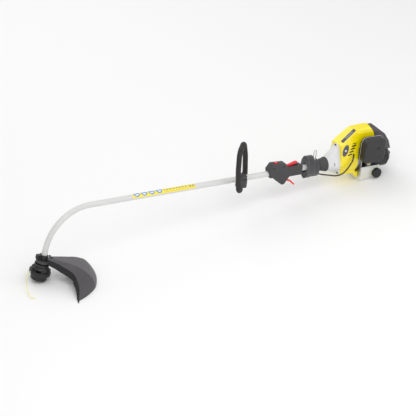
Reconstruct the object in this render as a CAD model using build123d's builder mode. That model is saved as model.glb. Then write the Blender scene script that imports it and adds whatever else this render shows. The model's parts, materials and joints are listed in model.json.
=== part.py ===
from build123d import *
import os
from math import cos, pi, radians, sin, tan

os.makedirs("parts", exist_ok=True)

# ----------------------------------------------------------------------------
# Petrol string trimmer with a curved shaft, lying as it is laid down: the fuel
# tank, the bump knob and the rim of the guard rest on the floor (Z = 0).
# World: +X to the engine, +Y to the user's right, +Z up, millimetres.
# Tool places are (u, v, y): u along the shaft to the engine's rear, v square to
# the shaft and up, y across. Head places are (t, x, y): t down the head axis.
# ----------------------------------------------------------------------------

# Driving dimensions
SLOPE = 8.1              # degrees, rise of the shaft from the engine to the bend
BEND = 81.3              # degrees turned by the shaft's curved end
BEND_RADIUS = 190.0
STRAIGHT = 1233.0        # shaft from the engine datum to the start of the bend
LOWER_RUN = 31.0         # straight tube between the bend and the head
TUBE_OD = 24.0
TUBE_WALL = 1.5
DATUM_X = -112.0         # engine datum on the shaft axis
DATUM_Z = 100.0
RUNNING = 0.05           # radial clearance of a turning shaft

TUBE_R = TUBE_OD / 2
LINE_D = 2.4
GUARD_RADIUS = 240.0
GUARD_WALL = 3.0
HEAD_RADIUS = 44.5
KNOB_RADIUS = 34.0
KNOB_EDGE = 6.0
HOUSING_REAR = -25.0     # joint face of the clutch housing and the shroud
HOUSING_FRONT = -77.0
SHROUD_HALF = 45.0       # half width of the engine shroud
SHROUD_WALL = 2.5

# Directions and places
AXIS = Vector(cos(radians(SLOPE)), 0, -sin(radians(SLOPE)))
UP = Vector(sin(radians(SLOPE)), 0, cos(radians(SLOPE)))
ACROSS = Vector(0, 1, 0)
DROP = radians(BEND - SLOPE)
HEAD_DOWN = Vector(-cos(DROP), 0, -sin(DROP))
HEAD_UP = HEAD_DOWN * -1
HEAD_X = Vector(sin(DROP), 0, -cos(DROP))
DATUM = Vector(DATUM_X, 0, DATUM_Z)
TANGENT = BEND_RADIUS * tan(radians(BEND / 2))
BEND_CORNER = DATUM - AXIS * (STRAIGHT + TANGENT)
HEAD_TOP = BEND_CORNER + HEAD_DOWN * (TANGENT + LOWER_RUN)


def spot(u, v=0.0, y=0.0):
    """World place of a tool place."""
    return DATUM + AXIS * u + UP * v + ACROSS * y


def cross(u, v=0.0, y=0.0):
    """Plane square to the shaft: local x is +Y, local y is up, normal to the rear."""
    return Plane(origin=spot(u, v, y), x_dir=ACROSS, z_dir=AXIS)


def side(y, u=0.0, v=0.0):
    """Plane along the shaft: local x to the rear, local y up, normal to the left (-Y)."""
    return Plane(origin=spot(u, v, y), x_dir=AXIS, z_dir=ACROSS * -1)


def deck(v, u=0.0, y=0.0):
    """Plane above the shaft: local x to the rear, local y is +Y, normal up."""
    return Plane(origin=spot(u, v, y), x_dir=AXIS, z_dir=UP)


def head_spot(t, x=0.0, y=0.0):
    """World place of a head place."""
    return HEAD_TOP + HEAD_DOWN * t + HEAD_X * x + ACROSS * y


def head(t, x=0.0, y=0.0):
    """Plane square to the head axis: local x towards the engine, normal up the axis."""
    return Plane(origin=head_spot(t, x, y), x_dir=HEAD_X, z_dir=HEAD_UP)


def head_side(y=0.0):
    """Plane through the head axis: local x towards the engine, local y up the axis."""
    return Plane(origin=HEAD_TOP + ACROSS * y, x_dir=HEAD_X, z_dir=ACROSS * -1)


def ring(outer, inner):
    """Flat ring in the sketch that is open."""
    Circle(outer)
    if inner > 0:
        Circle(inner, mode=Mode.SUBTRACT)


# ----------------------------------------------------------------------------
# Shaft: outer tube, plastic liner and the flexible drive shaft inside it
# ----------------------------------------------------------------------------
TUBE_START = -84.0       # tube end inside the clutch housing
TUBE_SOCKET = 20.0       # tube depth in the head
LINER_R = 5.5
LINER_BORE = 4.0
CABLE_R = 3.2
tube_end = HEAD_TOP + HEAD_DOWN * TUBE_SOCKET

with BuildPart() as shaft_tube:
    with BuildLine() as tube_line:
        FilletPolyline(spot(TUBE_START), BEND_CORNER, tube_end, radius=BEND_RADIUS)
    with BuildSketch(cross(TUBE_START)):
        ring(TUBE_R, TUBE_R - TUBE_WALL)
    sweep(path=tube_line.line)

with BuildPart() as flex_liner:
    with BuildLine() as liner_line:
        FilletPolyline(spot(TUBE_START + 2), BEND_CORNER, tube_end + HEAD_UP * 2, radius=BEND_RADIUS)
    with BuildSketch(cross(TUBE_START + 2)):
        ring(LINER_R, LINER_BORE)
    sweep(path=liner_line.line)

with BuildPart() as flex_drive_shaft:
    with BuildLine() as cable_line:
        FilletPolyline(spot(TUBE_START), BEND_CORNER, tube_end, radius=BEND_RADIUS)
    with BuildSketch(cross(TUBE_START)):
        Circle(CABLE_R)
    sweep(path=cable_line.line)

# ----------------------------------------------------------------------------
# Cutting head, from the tube clamp down to the bump knob
# ----------------------------------------------------------------------------
BODY_R = 23.0            # bearing housing
BODY_DEPTH = 44.0
COLLAR_R = 18.0
COLLAR_DEPTH = 20.0
BEARING_R = 11.0
ARBOR_R = 5.0
CUP_TOP = 46.0           # dust cup
SPOOL_TOP = 50.0         # spool housing
SKIRT_TOP = 68.0
SKIRT_BOTTOM = 84.0
HOUSING_WALL = 2.6
KNOB_TOP = 87.0
BUMP_TRAVEL = 6.0
SPOOL_HUB = 14.0
knob_bottom = KNOB_EDGE + (HEAD_TOP.Z - KNOB_EDGE - cos(DROP) * (KNOB_RADIUS - KNOB_EDGE)) / sin(DROP)

with BuildPart() as bearing_housing:
    with BuildSketch(head(0)):
        Circle(COLLAR_R)
    extrude(amount=-COLLAR_DEPTH)
    with BuildSketch(head(COLLAR_DEPTH - 4)):
        Circle(BODY_R)
    extrude(amount=-(BODY_DEPTH - COLLAR_DEPTH + 4))
    with BuildSketch(head(0)):
        with Locations((-24, 0)):
            RectangleRounded(22, 18, 4)
    extrude(amount=-16)
    with BuildSketch(head(0)):
        Circle(TUBE_R + 0.02)
    extrude(amount=-TUBE_SOCKET, mode=Mode.SUBTRACT)
    with BuildSketch(head(TUBE_SOCKET)):
        Circle(ARBOR_R + 1.5)
    extrude(amount=-6, mode=Mode.SUBTRACT)
    with BuildSketch(head(TUBE_SOCKET + 4)):
        Circle(BEARING_R)
    extrude(amount=-(BODY_DEPTH - TUBE_SOCKET - 4), mode=Mode.SUBTRACT)
    with BuildSketch(head(0)):
        with Locations((-26, 0)):
            Rectangle(30, 2)
    extrude(amount=-14, mode=Mode.SUBTRACT)
    with BuildSketch(head_side(-12)):
        with Locations((-28, -8)):
            Circle(2.6)
    extrude(amount=-24, mode=Mode.SUBTRACT)

with BuildPart() as head_clamp_screw:
    with BuildSketch(head_side(-9.2)):
        with Locations((-28, -8)):
            Circle(4.6)
    extrude(amount=3.4)
    with BuildSketch(head_side(-9.2)):
        with Locations((-28, -8)):
            Circle(2.5)
    extrude(amount=-19)
    with BuildSketch(head_side(-12.6)):
        with Locations((-28, -8)):
            RegularPolygon(2.2, 6)
    extrude(amount=-2, mode=Mode.SUBTRACT)

with BuildPart() as head_bearings:
    for top in (25.0, 36.0):
        with BuildSketch(head(top)):
            ring(BEARING_R, ARBOR_R + RUNNING)
        extrude(amount=-7)

with BuildPart() as head_arbor:
    with BuildSketch(head(TUBE_SOCKET + 0.5)):
        Circle(ARBOR_R)
    extrude(amount=-(knob_bottom - TUBE_SOCKET - 24))

with BuildPart() as dust_cup:
    with BuildSketch(head(CUP_TOP)):
        ring(30, ARBOR_R)
    extrude(amount=-3)
    with BuildSketch(head(CUP_TOP - 8)):
        ring(30, 27.5)
    extrude(amount=-8.5)

# The housing is a stepped cup, open below, with four windows round its shoulder.
with BuildPart() as spool_housing:
    with BuildSketch(head_side()):
        with BuildLine():
            Polyline((ARBOR_R, -SPOOL_TOP), (32, -SPOOL_TOP), (38, -SPOOL_TOP - 6), (39, -SKIRT_TOP + 2),
                     (HEAD_RADIUS, -SKIRT_TOP), (HEAD_RADIUS, -SKIRT_BOTTOM + 3),
                     (HEAD_RADIUS - 2, -SKIRT_BOTTOM), (HEAD_RADIUS - 5, -SKIRT_BOTTOM),
                     (HEAD_RADIUS - 5, -SKIRT_TOP - 2), (36, -SKIRT_TOP), (35.4, -SPOOL_TOP - 8),
                     (31, -SPOOL_TOP - 3), (ARBOR_R, -SPOOL_TOP - 3), close=True)
        make_face()
    revolve(axis=Axis(HEAD_TOP, HEAD_UP))
    for turn in range(4):
        with BuildSketch(head(SPOOL_TOP + 9)):
            with PolarLocations(38, 1, start_angle=90 * turn + 45):
                Rectangle(16, 22)
        extrude(amount=-8, mode=Mode.SUBTRACT)
    for turn in (0, 180):
        with BuildSketch(head(SKIRT_TOP - 6)):
            with PolarLocations(41, 1, start_angle=turn):
                RectangleRounded(9, 20, 3)
        extrude(amount=-16)
    for turn in (0, 180):
        with BuildSketch(Plane(origin=head_spot(76), x_dir=ACROSS, z_dir=HEAD_X * cos(radians(turn)))):
            Circle(3.2)
        extrude(amount=60, mode=Mode.SUBTRACT)

with BuildPart() as line_eyelets:
    for turn in (0, 180):
        outward = HEAD_X * cos(radians(turn))
        with BuildSketch(Plane(origin=head_spot(76) + outward * 38.6, x_dir=ACROSS, z_dir=outward)):
            ring(3.2, 1.6)
        extrude(amount=9)
        with BuildSketch(Plane(origin=head_spot(76) + outward * 45.7, x_dir=ACROSS, z_dir=outward)):
            ring(5.2, 1.6)
        extrude(amount=3)

with BuildPart() as spool:
    for top, thick, outer in ((SPOOL_TOP + 12, 1.6, 32.5), (SPOOL_TOP + 29, 1.6, 35.4)):
        with BuildSketch(head(top)):
            ring(outer, ARBOR_R + 1)
        extrude(amount=-thick)
    with BuildSketch(head(SPOOL_TOP + 12)):
        ring(SPOOL_HUB, ARBOR_R + 1)
    extrude(amount=-(KNOB_TOP - SPOOL_TOP - 12))

with BuildPart() as wound_line:
    with BuildSketch(head(SPOOL_TOP + 13.6)):
        ring(30, SPOOL_HUB)
    extrude(amount=-15.4)

with BuildPart() as bump_spring:
    with BuildLine() as spring_line:
        Helix(pitch=2.1, height=6.2, radius=9.5, center=head_spot(SPOOL_TOP + 10.8), direction=HEAD_UP)
    with BuildSketch(Plane(origin=spring_line.line @ 0, z_dir=spring_line.line % 0)):
        Circle(0.7)
    sweep(path=spring_line.line, is_frenet=True)

with BuildPart() as bump_knob:
    with BuildSketch(head(KNOB_TOP)):
        Circle(KNOB_RADIUS)
    extrude(amount=-(knob_bottom - KNOB_TOP))
    fillet(bump_knob.edges().group_by(Axis(HEAD_TOP, HEAD_UP))[0], KNOB_EDGE)
    with BuildSketch(head(KNOB_TOP)):
        Circle(ARBOR_R + 1)
    extrude(amount=-7.5, mode=Mode.SUBTRACT)

# ----------------------------------------------------------------------------
# Trimmer line: one bare end, from the eyelet round to the near side, on the floor
# ----------------------------------------------------------------------------
LINE_EXIT = head_spot(76, -48.7)
line_points = [
    LINE_EXIT,
    LINE_EXIT + Vector(-14.5, -3, 3),
    LINE_EXIT + Vector(-31, -24, -9),
    LINE_EXIT + Vector(-45, -47, -22),
    LINE_EXIT + Vector(-55, -72, -35),
    LINE_EXIT + Vector(-60, -97, -46),
    LINE_EXIT + Vector(-54, -109, -50.4),
    LINE_EXIT + Vector(-44, -114, -50.9),
]


def bend_radii(points):
    """Arc radius at each inner point: 0.45 of its shorter run over the tangent of half the turn."""
    radii = []
    for before, at, after in zip(points, points[1:], points[2:]):
        first, second = at - before, after - at
        turn = radians(first.get_angle(second))
        radii.append(0.45 * min(first.length, second.length) / tan(turn / 2))
    return radii


line_radii = bend_radii(line_points)
print("trimmer line radii", [round(r, 1) for r in line_radii])

with BuildPart() as trimmer_line:
    with BuildLine() as line_path:
        FilletPolyline(*line_points, radius=line_radii)
    with BuildSketch(Plane(origin=LINE_EXIT, z_dir=line_path.line % 0)):
        Circle(LINE_D / 2)
    sweep(path=line_path.line)
line_length = line_path.wires()[0].length
line_volume = pi * LINE_D ** 2 / 4 * line_length
print("trimmer line length", round(line_length, 1),
      "volume ratio", round(trimmer_line.part.volume / line_volume, 4))

# ----------------------------------------------------------------------------
# Guard: a domed sector with a deep skirt, cut flat where it meets the floor
# ----------------------------------------------------------------------------
GUARD_FROM = -86.0       # degrees round the head axis, from the engine side to the left
GUARD_TO = 4.0
BLADE_GAP = 3.0          # blade's stand-off from the guard's inner edge
GUARD_LIP = 26.0         # depth of the turned-down wall along the inner edge
guard_screw_places = [(BODY_R + 11, -7), (BODY_R + 11, 7)]
near_edge = [(6, -24), (44, -57), (68, -94), (78, -129), (72, -180), (44, -247)]


def spoke(angle):
    """Plane through the head axis at an angle from the engine side towards +Y."""
    out = HEAD_X * cos(radians(angle)) + ACROSS * sin(radians(angle))
    return Plane(origin=HEAD_TOP, x_dir=out, z_dir=out.cross(HEAD_UP))


dome_outer = [(24.5, -10), (140, -13), (196, -26), (228, -50), (GUARD_RADIUS, -78), (GUARD_RADIUS, -114)]
dome_inner = [(GUARD_RADIUS - GUARD_WALL, -114), (GUARD_RADIUS - GUARD_WALL, -79), (225, -52),
              (194, -29), (140, -16), (24.5, -13)]
lip_bottom = [(radius, max(height - GUARD_LIP, -114)) for radius, height in dome_outer[4::-1]]

# The lip is the strip under the dome's inner edge, as deep as GUARD_LIP.
with BuildPart() as guard_lip:
    with BuildSketch(spoke(GUARD_TO)):
        Polygon(*dome_outer[:5], *lip_bottom, align=None)
    revolve(axis=Axis(HEAD_TOP, HEAD_DOWN), revolution_arc=GUARD_TO - GUARD_FROM)
    with BuildSketch(head(0)):
        with BuildLine():
            Spline(*near_edge)
            Line(near_edge[-1], (47, -245.4))
            Spline((47, -245.4), (75, -180), (81, -129), (71, -93), (46, -54.6), (9, -22))
            Line((9, -22), near_edge[0])
        make_face()
    extrude(amount=-130, mode=Mode.INTERSECT)

with BuildPart() as guard:
    with BuildSketch(spoke(GUARD_TO)):
        Polygon(*dome_outer, *dome_inner, align=None)
    revolve(axis=Axis(HEAD_TOP, HEAD_DOWN), revolution_arc=GUARD_TO - GUARD_FROM)
    with BuildSketch(head(0)):
        with BuildLine():
            Spline(*near_edge)
            Polyline(near_edge[-1], (44, -300), (-60, -300), (-60, 0), (-30, -6), near_edge[0])
        make_face()
    extrude(amount=-130, mode=Mode.SUBTRACT)
    add(guard_lip.part)
    with BuildSketch(head(10)):
        with BuildLine():
            Polyline((20, 4), (20, 40), (150, 40), (260, 60), (260, -6), (190, -12), (100, 10), (40, 14), close=True)
        make_face()
    extrude(amount=-110, mode=Mode.SUBTRACT)
    with BuildSketch(head(10)):
        Circle(34)
    extrude(amount=-10)
    with BuildSketch(head(-2)):
        Circle(BODY_R + 0.1)
        with Locations((-52, 0)):
            Rectangle(100, 100)
    extrude(amount=-60, mode=Mode.SUBTRACT)
    with BuildSketch(head(20.5)):
        Circle(BODY_R + 5.6)
    extrude(amount=-40, mode=Mode.SUBTRACT)
    with BuildSketch(head(0)):
        with Locations(*guard_screw_places):
            Circle(2.3)
    extrude(amount=-24, mode=Mode.SUBTRACT)
    with BuildSketch(Plane.XY):
        with Locations((HEAD_TOP.X + 100, -100)):
            Rectangle(700, 700)
    extrude(amount=-200, mode=Mode.SUBTRACT)

with BuildPart() as guard_clamp:
    with BuildSketch(head(21)):
        ring(BODY_R + 5, BODY_R + 0.1)
        with Locations((BODY_R + 10, 0)):
            RectangleRounded(24, 26, 3)
        Circle(BODY_R + 0.1, mode=Mode.SUBTRACT)
        with Locations(*guard_screw_places):
            Circle(2.3, mode=Mode.SUBTRACT)
    extrude(amount=-12)

with BuildPart() as guard_screws:
    for place in guard_screw_places:
        with BuildSketch(head(9.6, *place)):
            Circle(4.2)
            RegularPolygon(1.8, 6, mode=Mode.SUBTRACT)
        extrude(amount=3)
        with BuildSketch(head(9.6, *place)):
            Circle(2.2)
        extrude(amount=-20)

# The blade is screwed to the open side of the guard's inner edge, near its tip.
edge_run = Vector(*near_edge[-1]) - Vector(*near_edge[-2])
blade_along = (HEAD_X * edge_run.X + ACROSS * edge_run.Y).normalized()
blade_out = blade_along.cross(HEAD_UP)

with BuildPart() as line_cutter_blade:
    blade_place = head_spot(76, 66.5, -200) + blade_out * BLADE_GAP
    with BuildSketch(Plane(origin=blade_place, x_dir=blade_along, z_dir=blade_out)):
        RectangleRounded(34, 15, 2)
        with Locations((9, 0), (-9, 0)):
            Circle(2.2, mode=Mode.SUBTRACT)
    extrude(amount=1.6)

# ----------------------------------------------------------------------------
# Loop handle: a closed hand loop, its left side swept towards the head
# ----------------------------------------------------------------------------
LOOP_U = -494.0
LOOP_SWEEP = 45.0        # degrees the loop's plane is turned from square
LOOP_HALF = 70.0
LOOP_TOP = 144.0
LOOP_LOW = -34.0
LOOP_BAR_R = 6.5
LOOP_GRIP_R = 11.5
LOOP_BLOCK = 17.0        # half width of the clamp block

loop_right = Vector(sin(radians(LOOP_SWEEP)), cos(radians(LOOP_SWEEP)), 0)
loop_centre = spot(LOOP_U)


def loop_spot(x, z):
    """World place in the loop's plane."""
    return loop_centre + loop_right * x + Vector(0, 0, z)


def loop_path(inset):
    """Corner points of the hand loop, starting and ending beside the clamp block."""
    return [loop_spot(inset, LOOP_LOW), loop_spot(LOOP_HALF - 4, LOOP_LOW), loop_spot(LOOP_HALF + 2, 70),
            loop_spot(LOOP_HALF - 26, LOOP_TOP), loop_spot(26 - LOOP_HALF, LOOP_TOP),
            loop_spot(-LOOP_HALF - 2, 70), loop_spot(4 - LOOP_HALF, LOOP_LOW), loop_spot(-inset, LOOP_LOW)]


loop_radii = [34, 60, 36, 36, 60, 34]
loop_screw_places = [(along, across) for along in (-9, 9) for across in (-14.2, 14.2)]

with BuildPart() as loop_bar:
    with BuildLine() as bar_line:
        FilletPolyline(*loop_path(LOOP_BLOCK - 6), radius=loop_radii)
    with BuildSketch(Plane(origin=bar_line.line @ 0, z_dir=bar_line.line % 0)):
        Circle(LOOP_BAR_R)
    sweep(path=bar_line.line)

with BuildPart() as loop_grip:
    with BuildLine() as grip_line:
        FilletPolyline(*loop_path(LOOP_BLOCK + 10), radius=loop_radii)
    with BuildSketch(Plane(origin=grip_line.line @ 0, z_dir=grip_line.line % 0)):
        ring(LOOP_GRIP_R, LOOP_BAR_R)
    sweep(path=grip_line.line)

with BuildPart() as loop_clamp_lower:
    with BuildSketch(cross(LOOP_U - 17)):
        with Locations((0, -20)):
            RectangleRounded(2 * LOOP_BLOCK, 39, 4)
        Circle(TUBE_R + 0.02, mode=Mode.SUBTRACT)
    extrude(amount=34)
    with BuildSketch(Plane(origin=loop_spot(0, LOOP_LOW), x_dir=(0, 0, 1), z_dir=loop_right)):
        Circle(LOOP_BAR_R)
    extrude(amount=60, both=True, mode=Mode.SUBTRACT)
    with BuildSketch(deck(20, LOOP_U, 0)):
        with Locations(*loop_screw_places):
            Circle(1.7)
    extrude(amount=-28, mode=Mode.SUBTRACT)

with BuildPart() as loop_clamp_upper:
    with BuildSketch(cross(LOOP_U - 14)):
        with Locations((0, 8.5)):
            RectangleRounded(2 * LOOP_BLOCK, 15.5, 4)
        Circle(TUBE_R + 0.02, mode=Mode.SUBTRACT)
    extrude(amount=28)
    with BuildSketch(deck(20, LOOP_U, 0)):
        with Locations(*loop_screw_places):
            Circle(1.7)
    extrude(amount=-28, mode=Mode.SUBTRACT)

with BuildPart() as loop_clamp_screws:
    for along, across in loop_screw_places:
        with BuildSketch(deck(16.3, LOOP_U + along, across)):
            Circle(2.6)
        extrude(amount=2.6)
        with BuildSketch(deck(16.3, LOOP_U + along, across)):
            Circle(1.65)
        extrude(amount=-24)

# ----------------------------------------------------------------------------
# Throttle handle: two moulded halves with trigger, lock-out lever and stop switch
# ----------------------------------------------------------------------------
HANDLE_HALF = 20.0
HANDLE_WALL = 3.0
TRIGGER_PIVOT = (-287.0, -32.0)
LOCKOUT_PIVOT = (-274.0, 18.6)
PIN_R = 2.0
SWITCH_U = -331.0
handle_outline = [(-362, -15), (-370, 20), (-352, 45), (-288, 41), (-280, 26), (-268, 22), (-200, 21),
                  (-200, -22), (-262, -22), (-272, -34), (-286, -54), (-298, -54), (-320, -38), (-344, -17)]


handle_screw_places = [(-350, 30), (-300, 30), (-300, -40)]


def handle_half(sign):
    """One half of the throttle handle, hollow, with the tube bore and the control slots."""
    with BuildPart() as half:
        with BuildSketch(side(0)) as profile:
            Polygon(*handle_outline, align=None)
            fillet(profile.vertices(), 4)
        extrude(amount=-sign * HANDLE_HALF)
        fillet(half.faces().sort_by(Axis.Y)[-1 if sign > 0 else 0].edges(), 7)
        with BuildSketch(side(0)):
            Polygon(*handle_outline, align=None)
            offset(amount=-HANDLE_WALL, kind=Kind.INTERSECTION)
        extrude(amount=-sign * (HANDLE_HALF - HANDLE_WALL), mode=Mode.SUBTRACT)
        with BuildSketch(cross(-385)):
            Circle(TUBE_R + 0.02)
        extrude(amount=200, mode=Mode.SUBTRACT)
        with BuildSketch(cross(-240, -16.6, 0)):
            Circle(3.4)
        extrude(amount=60, mode=Mode.SUBTRACT)
        with BuildSketch(side(6)):
            with BuildLine():
                Polyline((-286, -24), (-262, -24), (-252, -66), (-286, -66), close=True)
            make_face()
        extrude(amount=12, mode=Mode.SUBTRACT)
        with BuildSketch(deck(15, -252, 0)):
            Rectangle(66, 11)
        extrude(amount=40, mode=Mode.SUBTRACT)
        with BuildSketch(deck(34, SWITCH_U, 0)):
            Rectangle(26, 12)
        extrude(amount=20, mode=Mode.SUBTRACT)
        for place in (TRIGGER_PIVOT, LOCKOUT_PIVOT):
            with BuildSketch(side(0)):
                with Locations(place):
                    Circle(4.5)
            extrude(amount=-sign * (HANDLE_HALF - HANDLE_WALL))
            with BuildSketch(side(0)):
                with Locations(place):
                    Circle(6.6)
            extrude(amount=-sign * 5.6, mode=Mode.SUBTRACT)
            with BuildSketch(side(0)):
                with Locations(place):
                    Circle(PIN_R)
            extrude(amount=-sign * 12, mode=Mode.SUBTRACT)
        with BuildSketch(cross(-385)):
            Circle(TUBE_R + 0.02)
        extrude(amount=200, mode=Mode.SUBTRACT)
        if sign > 0:
            return half
        with BuildSketch(side(-HANDLE_HALF + 2)):
            with Locations(*handle_screw_places):
                Circle(3.5)
        extrude(amount=5, mode=Mode.SUBTRACT)
    return half


throttle_handle_left = handle_half(-1)
throttle_handle_right = handle_half(1)

with BuildPart() as handle_pins:
    for place in (TRIGGER_PIVOT, LOCKOUT_PIVOT):
        with BuildSketch(side(11)):
            with Locations(place):
                Circle(PIN_R)
        extrude(amount=22)

with BuildPart() as handle_screws:
    for place in handle_screw_places:
        with BuildSketch(side(-HANDLE_HALF + 2)):
            with Locations(place):
                Circle(3.4)
                RegularPolygon(1.5, 6, mode=Mode.SUBTRACT)
        extrude(amount=1.6)

with BuildPart() as throttle_trigger:
    with BuildSketch(side(5)):
        with BuildLine():
            Spline((-291, -35), (-268, -39), (-246, -46), (-227, -63), (-222, -67))
            Line((-222, -67), (-226, -71))
            Spline((-226, -71), (-232, -67), (-248, -53), (-268, -46), (-291, -42))
            Line((-291, -42), (-291, -35))
        make_face()
        with Locations(TRIGGER_PIVOT):
            Circle(6)
            Circle(PIN_R + RUNNING, mode=Mode.SUBTRACT)
    extrude(amount=10)

with BuildPart() as lockout_lever:
    with BuildSketch(side(4.5)):
        with BuildLine():
            Polyline((-278, 20), (-274, 26), (-230, 38), (-223, 36), (-222, 30), (-262, 20), (-270, 15), close=True)
        make_face()
        with Locations(LOCKOUT_PIVOT):
            Circle(5.4)
            Circle(PIN_R + RUNNING, mode=Mode.SUBTRACT)
    extrude(amount=9)

with BuildPart() as stop_switch:
    with BuildSketch(deck(38, SWITCH_U, 0)):
        RectangleRounded(16, 11, 3)
    extrude(amount=8.5)
    with BuildSketch(deck(36, SWITCH_U, 0)):
        Rectangle(20, 11)
    extrude(amount=3.5)

# ----------------------------------------------------------------------------
# Throttle conduit, held by the handle, the strap and the shroud
# ----------------------------------------------------------------------------
CONDUIT_R = 2.8
conduit_points = [spot(-214, -16.6, 0), spot(-188, -16.6, 0), spot(-158, -17.5, -3), spot(-128, -28, -17),
                  spot(-100, -33, -28), spot(-72, -35, -40), spot(-46, -38, -50), spot(-18, -30, -57),
                  spot(6, -4, -58), spot(26, 24, -55), spot(38, 42, -42)]
conduit_radii = bend_radii(conduit_points)
print("throttle conduit radii", [round(r, 1) for r in conduit_radii])

with BuildPart() as throttle_conduit:
    with BuildLine() as conduit_line:
        FilletPolyline(*conduit_points, radius=conduit_radii)
    with BuildSketch(Plane(origin=conduit_points[0], z_dir=conduit_line.line % 0)):
        Circle(CONDUIT_R)
    sweep(path=conduit_line.line)

# ----------------------------------------------------------------------------
# Harness: rolled strap round the shaft, hanger band with an eye, snap hook
# ----------------------------------------------------------------------------
STRAP_BORE = 22.0
HANGER_U = -134.0
EYE_V = 27.0
EYE_R = 3.2

with BuildPart() as harness_strap_roll:
    with BuildSketch(cross(-178, 2)):
        Ellipse(33, 53)
        Circle(STRAP_BORE, mode=Mode.SUBTRACT)
        with Locations((-7, -21)):
            Circle(8, mode=Mode.SUBTRACT)
    extrude(amount=31)

with BuildPart() as harness_strap_end:
    with BuildSketch(cross(-146, -8)):
        Ellipse(31, 42)
        Circle(STRAP_BORE, mode=Mode.SUBTRACT)
        with Locations((-10, -14), (-16, -20)):
            Circle(8, mode=Mode.SUBTRACT)
        with Locations((0, 32)):
            Rectangle(14, 30, mode=Mode.SUBTRACT)
    extrude(amount=26)

with BuildPart() as hanger_band:
    with BuildSketch(cross(HANGER_U - 7)):
        ring(TUBE_R + 2.2, TUBE_R + 0.02)
    extrude(amount=14)
    with BuildSketch(cross(HANGER_U - 1.5)):
        with BuildLine():
            Polyline((-5, TUBE_R + 1), (5, TUBE_R + 1), (5, EYE_V), (-5, EYE_V), close=True)
        make_face()
        with Locations((0, EYE_V)):
            Circle(6)
            Circle(EYE_R, mode=Mode.SUBTRACT)
    extrude(amount=3)

with BuildPart() as hanger_screw:
    with BuildSketch(cross(HANGER_U + 4, 0, 0)):
        with Locations((0, TUBE_R + 4.4)):
            Circle(2)
    extrude(amount=3.4)

# The hook is a flattened wire loop standing through the eye, closed by a hinged gate.
HOOK_WIRE = 1.7
HOOK_HALF = 6.0
HOOK_LOW = EYE_V - 0.6
HOOK_TOP = 71.0
HOOK_GATE_LOW = 46.0
HOOK_GATE_TOP = 65.5
GATE_PIN_R = 1.0         # hinge pin across the gate's foot


def hook_spot(u, v):
    """Place in the hook's upright plane, along the shaft."""
    return spot(HANGER_U + u, v, 0)


with BuildPart() as snap_hook:
    with BuildLine() as hook_line:
        FilletPolyline(hook_spot(HOOK_HALF, HOOK_GATE_LOW - 0.5), hook_spot(2.6, HOOK_LOW),
                       hook_spot(-2.6, HOOK_LOW), hook_spot(-HOOK_HALF, HOOK_GATE_LOW),
                       hook_spot(-HOOK_HALF, HOOK_TOP), hook_spot(HOOK_HALF, HOOK_TOP),
                       hook_spot(HOOK_HALF, HOOK_GATE_TOP + 0.5), radius=[2.2, 2.2, 8, 5.2, 4.2])
    with BuildSketch(Plane(origin=hook_line.line @ 0, z_dir=hook_line.line % 0)):
        Circle(HOOK_WIRE)
    sweep(path=hook_line.line)

with BuildPart() as snap_hook_gate:
    with BuildSketch(deck(HOOK_GATE_LOW + 1.4, HANGER_U + HOOK_HALF, 0)):
        Circle(HOOK_WIRE)
    extrude(amount=HOOK_GATE_TOP - HOOK_GATE_LOW - 2.4)
    with BuildSketch(side(2.3, HANGER_U + HOOK_HALF, HOOK_GATE_LOW + 1.4)):
        Circle(GATE_PIN_R)
    extrude(amount=4.6)

# ----------------------------------------------------------------------------
# Engine: clutch housing with its boot, clutch, shroud, fan, crankcase, cylinder
# ----------------------------------------------------------------------------
SNOUT_R = 18.0
SNOUT_FRONT = -100.0
DRUM_R = 28.0
SHOE_R = 24.6
CRANK_R = 8.0
FAN_R = 38.0
CASE_REAR = 80.0
CYL_U = 44.0
BORE_R = 17.0
STARTER_R = 46.0
STARTER_FRONT = 112.0
STARTER_REAR = 234.0
STARTER_WEB = 158.0      # wall that carries the pulley's post


def egg(base, top, rise):
    """Hull of a circle on the shaft axis and a smaller one above it."""
    Circle(base)
    with Locations((0, rise)):
        Circle(top)
    make_hull()


with BuildPart() as rubber_boot:
    with BuildSketch(side(0)):
        with BuildLine():
            Polyline((-114, TUBE_R + 0.02), (-114, 21), (-108, 24), (-90, 28), (-80, 31), (-77.3, 31),
                     (-77.3, SNOUT_R + 0.1), (SNOUT_FRONT - 0.3, SNOUT_R + 0.1),
                     (SNOUT_FRONT - 0.3, TUBE_R + 0.02), close=True)
        make_face()
    revolve(axis=Axis(spot(0), AXIS))

with BuildPart() as clutch_housing:
    with BuildSketch(cross(HOUSING_FRONT)):
        egg(29, 28, 3)
    with BuildSketch(cross(HOUSING_REAR - 8)):
        egg(41, 22, 56)
    loft()
    with BuildSketch(cross(HOUSING_REAR - 8)):
        egg(43, 22, 64)
        with Locations((38, -30), (-38, -30)):
            Circle(7)
    extrude(amount=8)
    with BuildSketch(cross(SNOUT_FRONT)):
        Circle(SNOUT_R)
    extrude(amount=HOUSING_FRONT - SNOUT_FRONT + 1)
    with BuildSketch(cross(HOUSING_FRONT + 16)):
        Circle(30)
    extrude(amount=40, mode=Mode.SUBTRACT)
    with BuildSketch(cross(SNOUT_FRONT)):
        Circle(TUBE_R + 0.02)
    extrude(amount=18, mode=Mode.SUBTRACT)
    with BuildSketch(cross(SNOUT_FRONT + 10)):
        Circle(8)
    extrude(amount=60, mode=Mode.SUBTRACT)
    with BuildSketch(cross(HOUSING_FRONT)):
        Circle(13)
    extrude(amount=30, mode=Mode.SUBTRACT)
    with BuildSketch(cross(HOUSING_REAR - 20, 62, 0)):
        Circle(5.5)
    extrude(amount=14)
    with BuildSketch(side(-20, -50, 8)):
        RectangleRounded(4, 14, 1.9)
    extrude(amount=30, mode=Mode.SUBTRACT)

with BuildPart() as clutch_bearing:
    with BuildSketch(cross(-75)):
        ring(13, 6 + RUNNING)
    extrude(amount=12)

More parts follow.
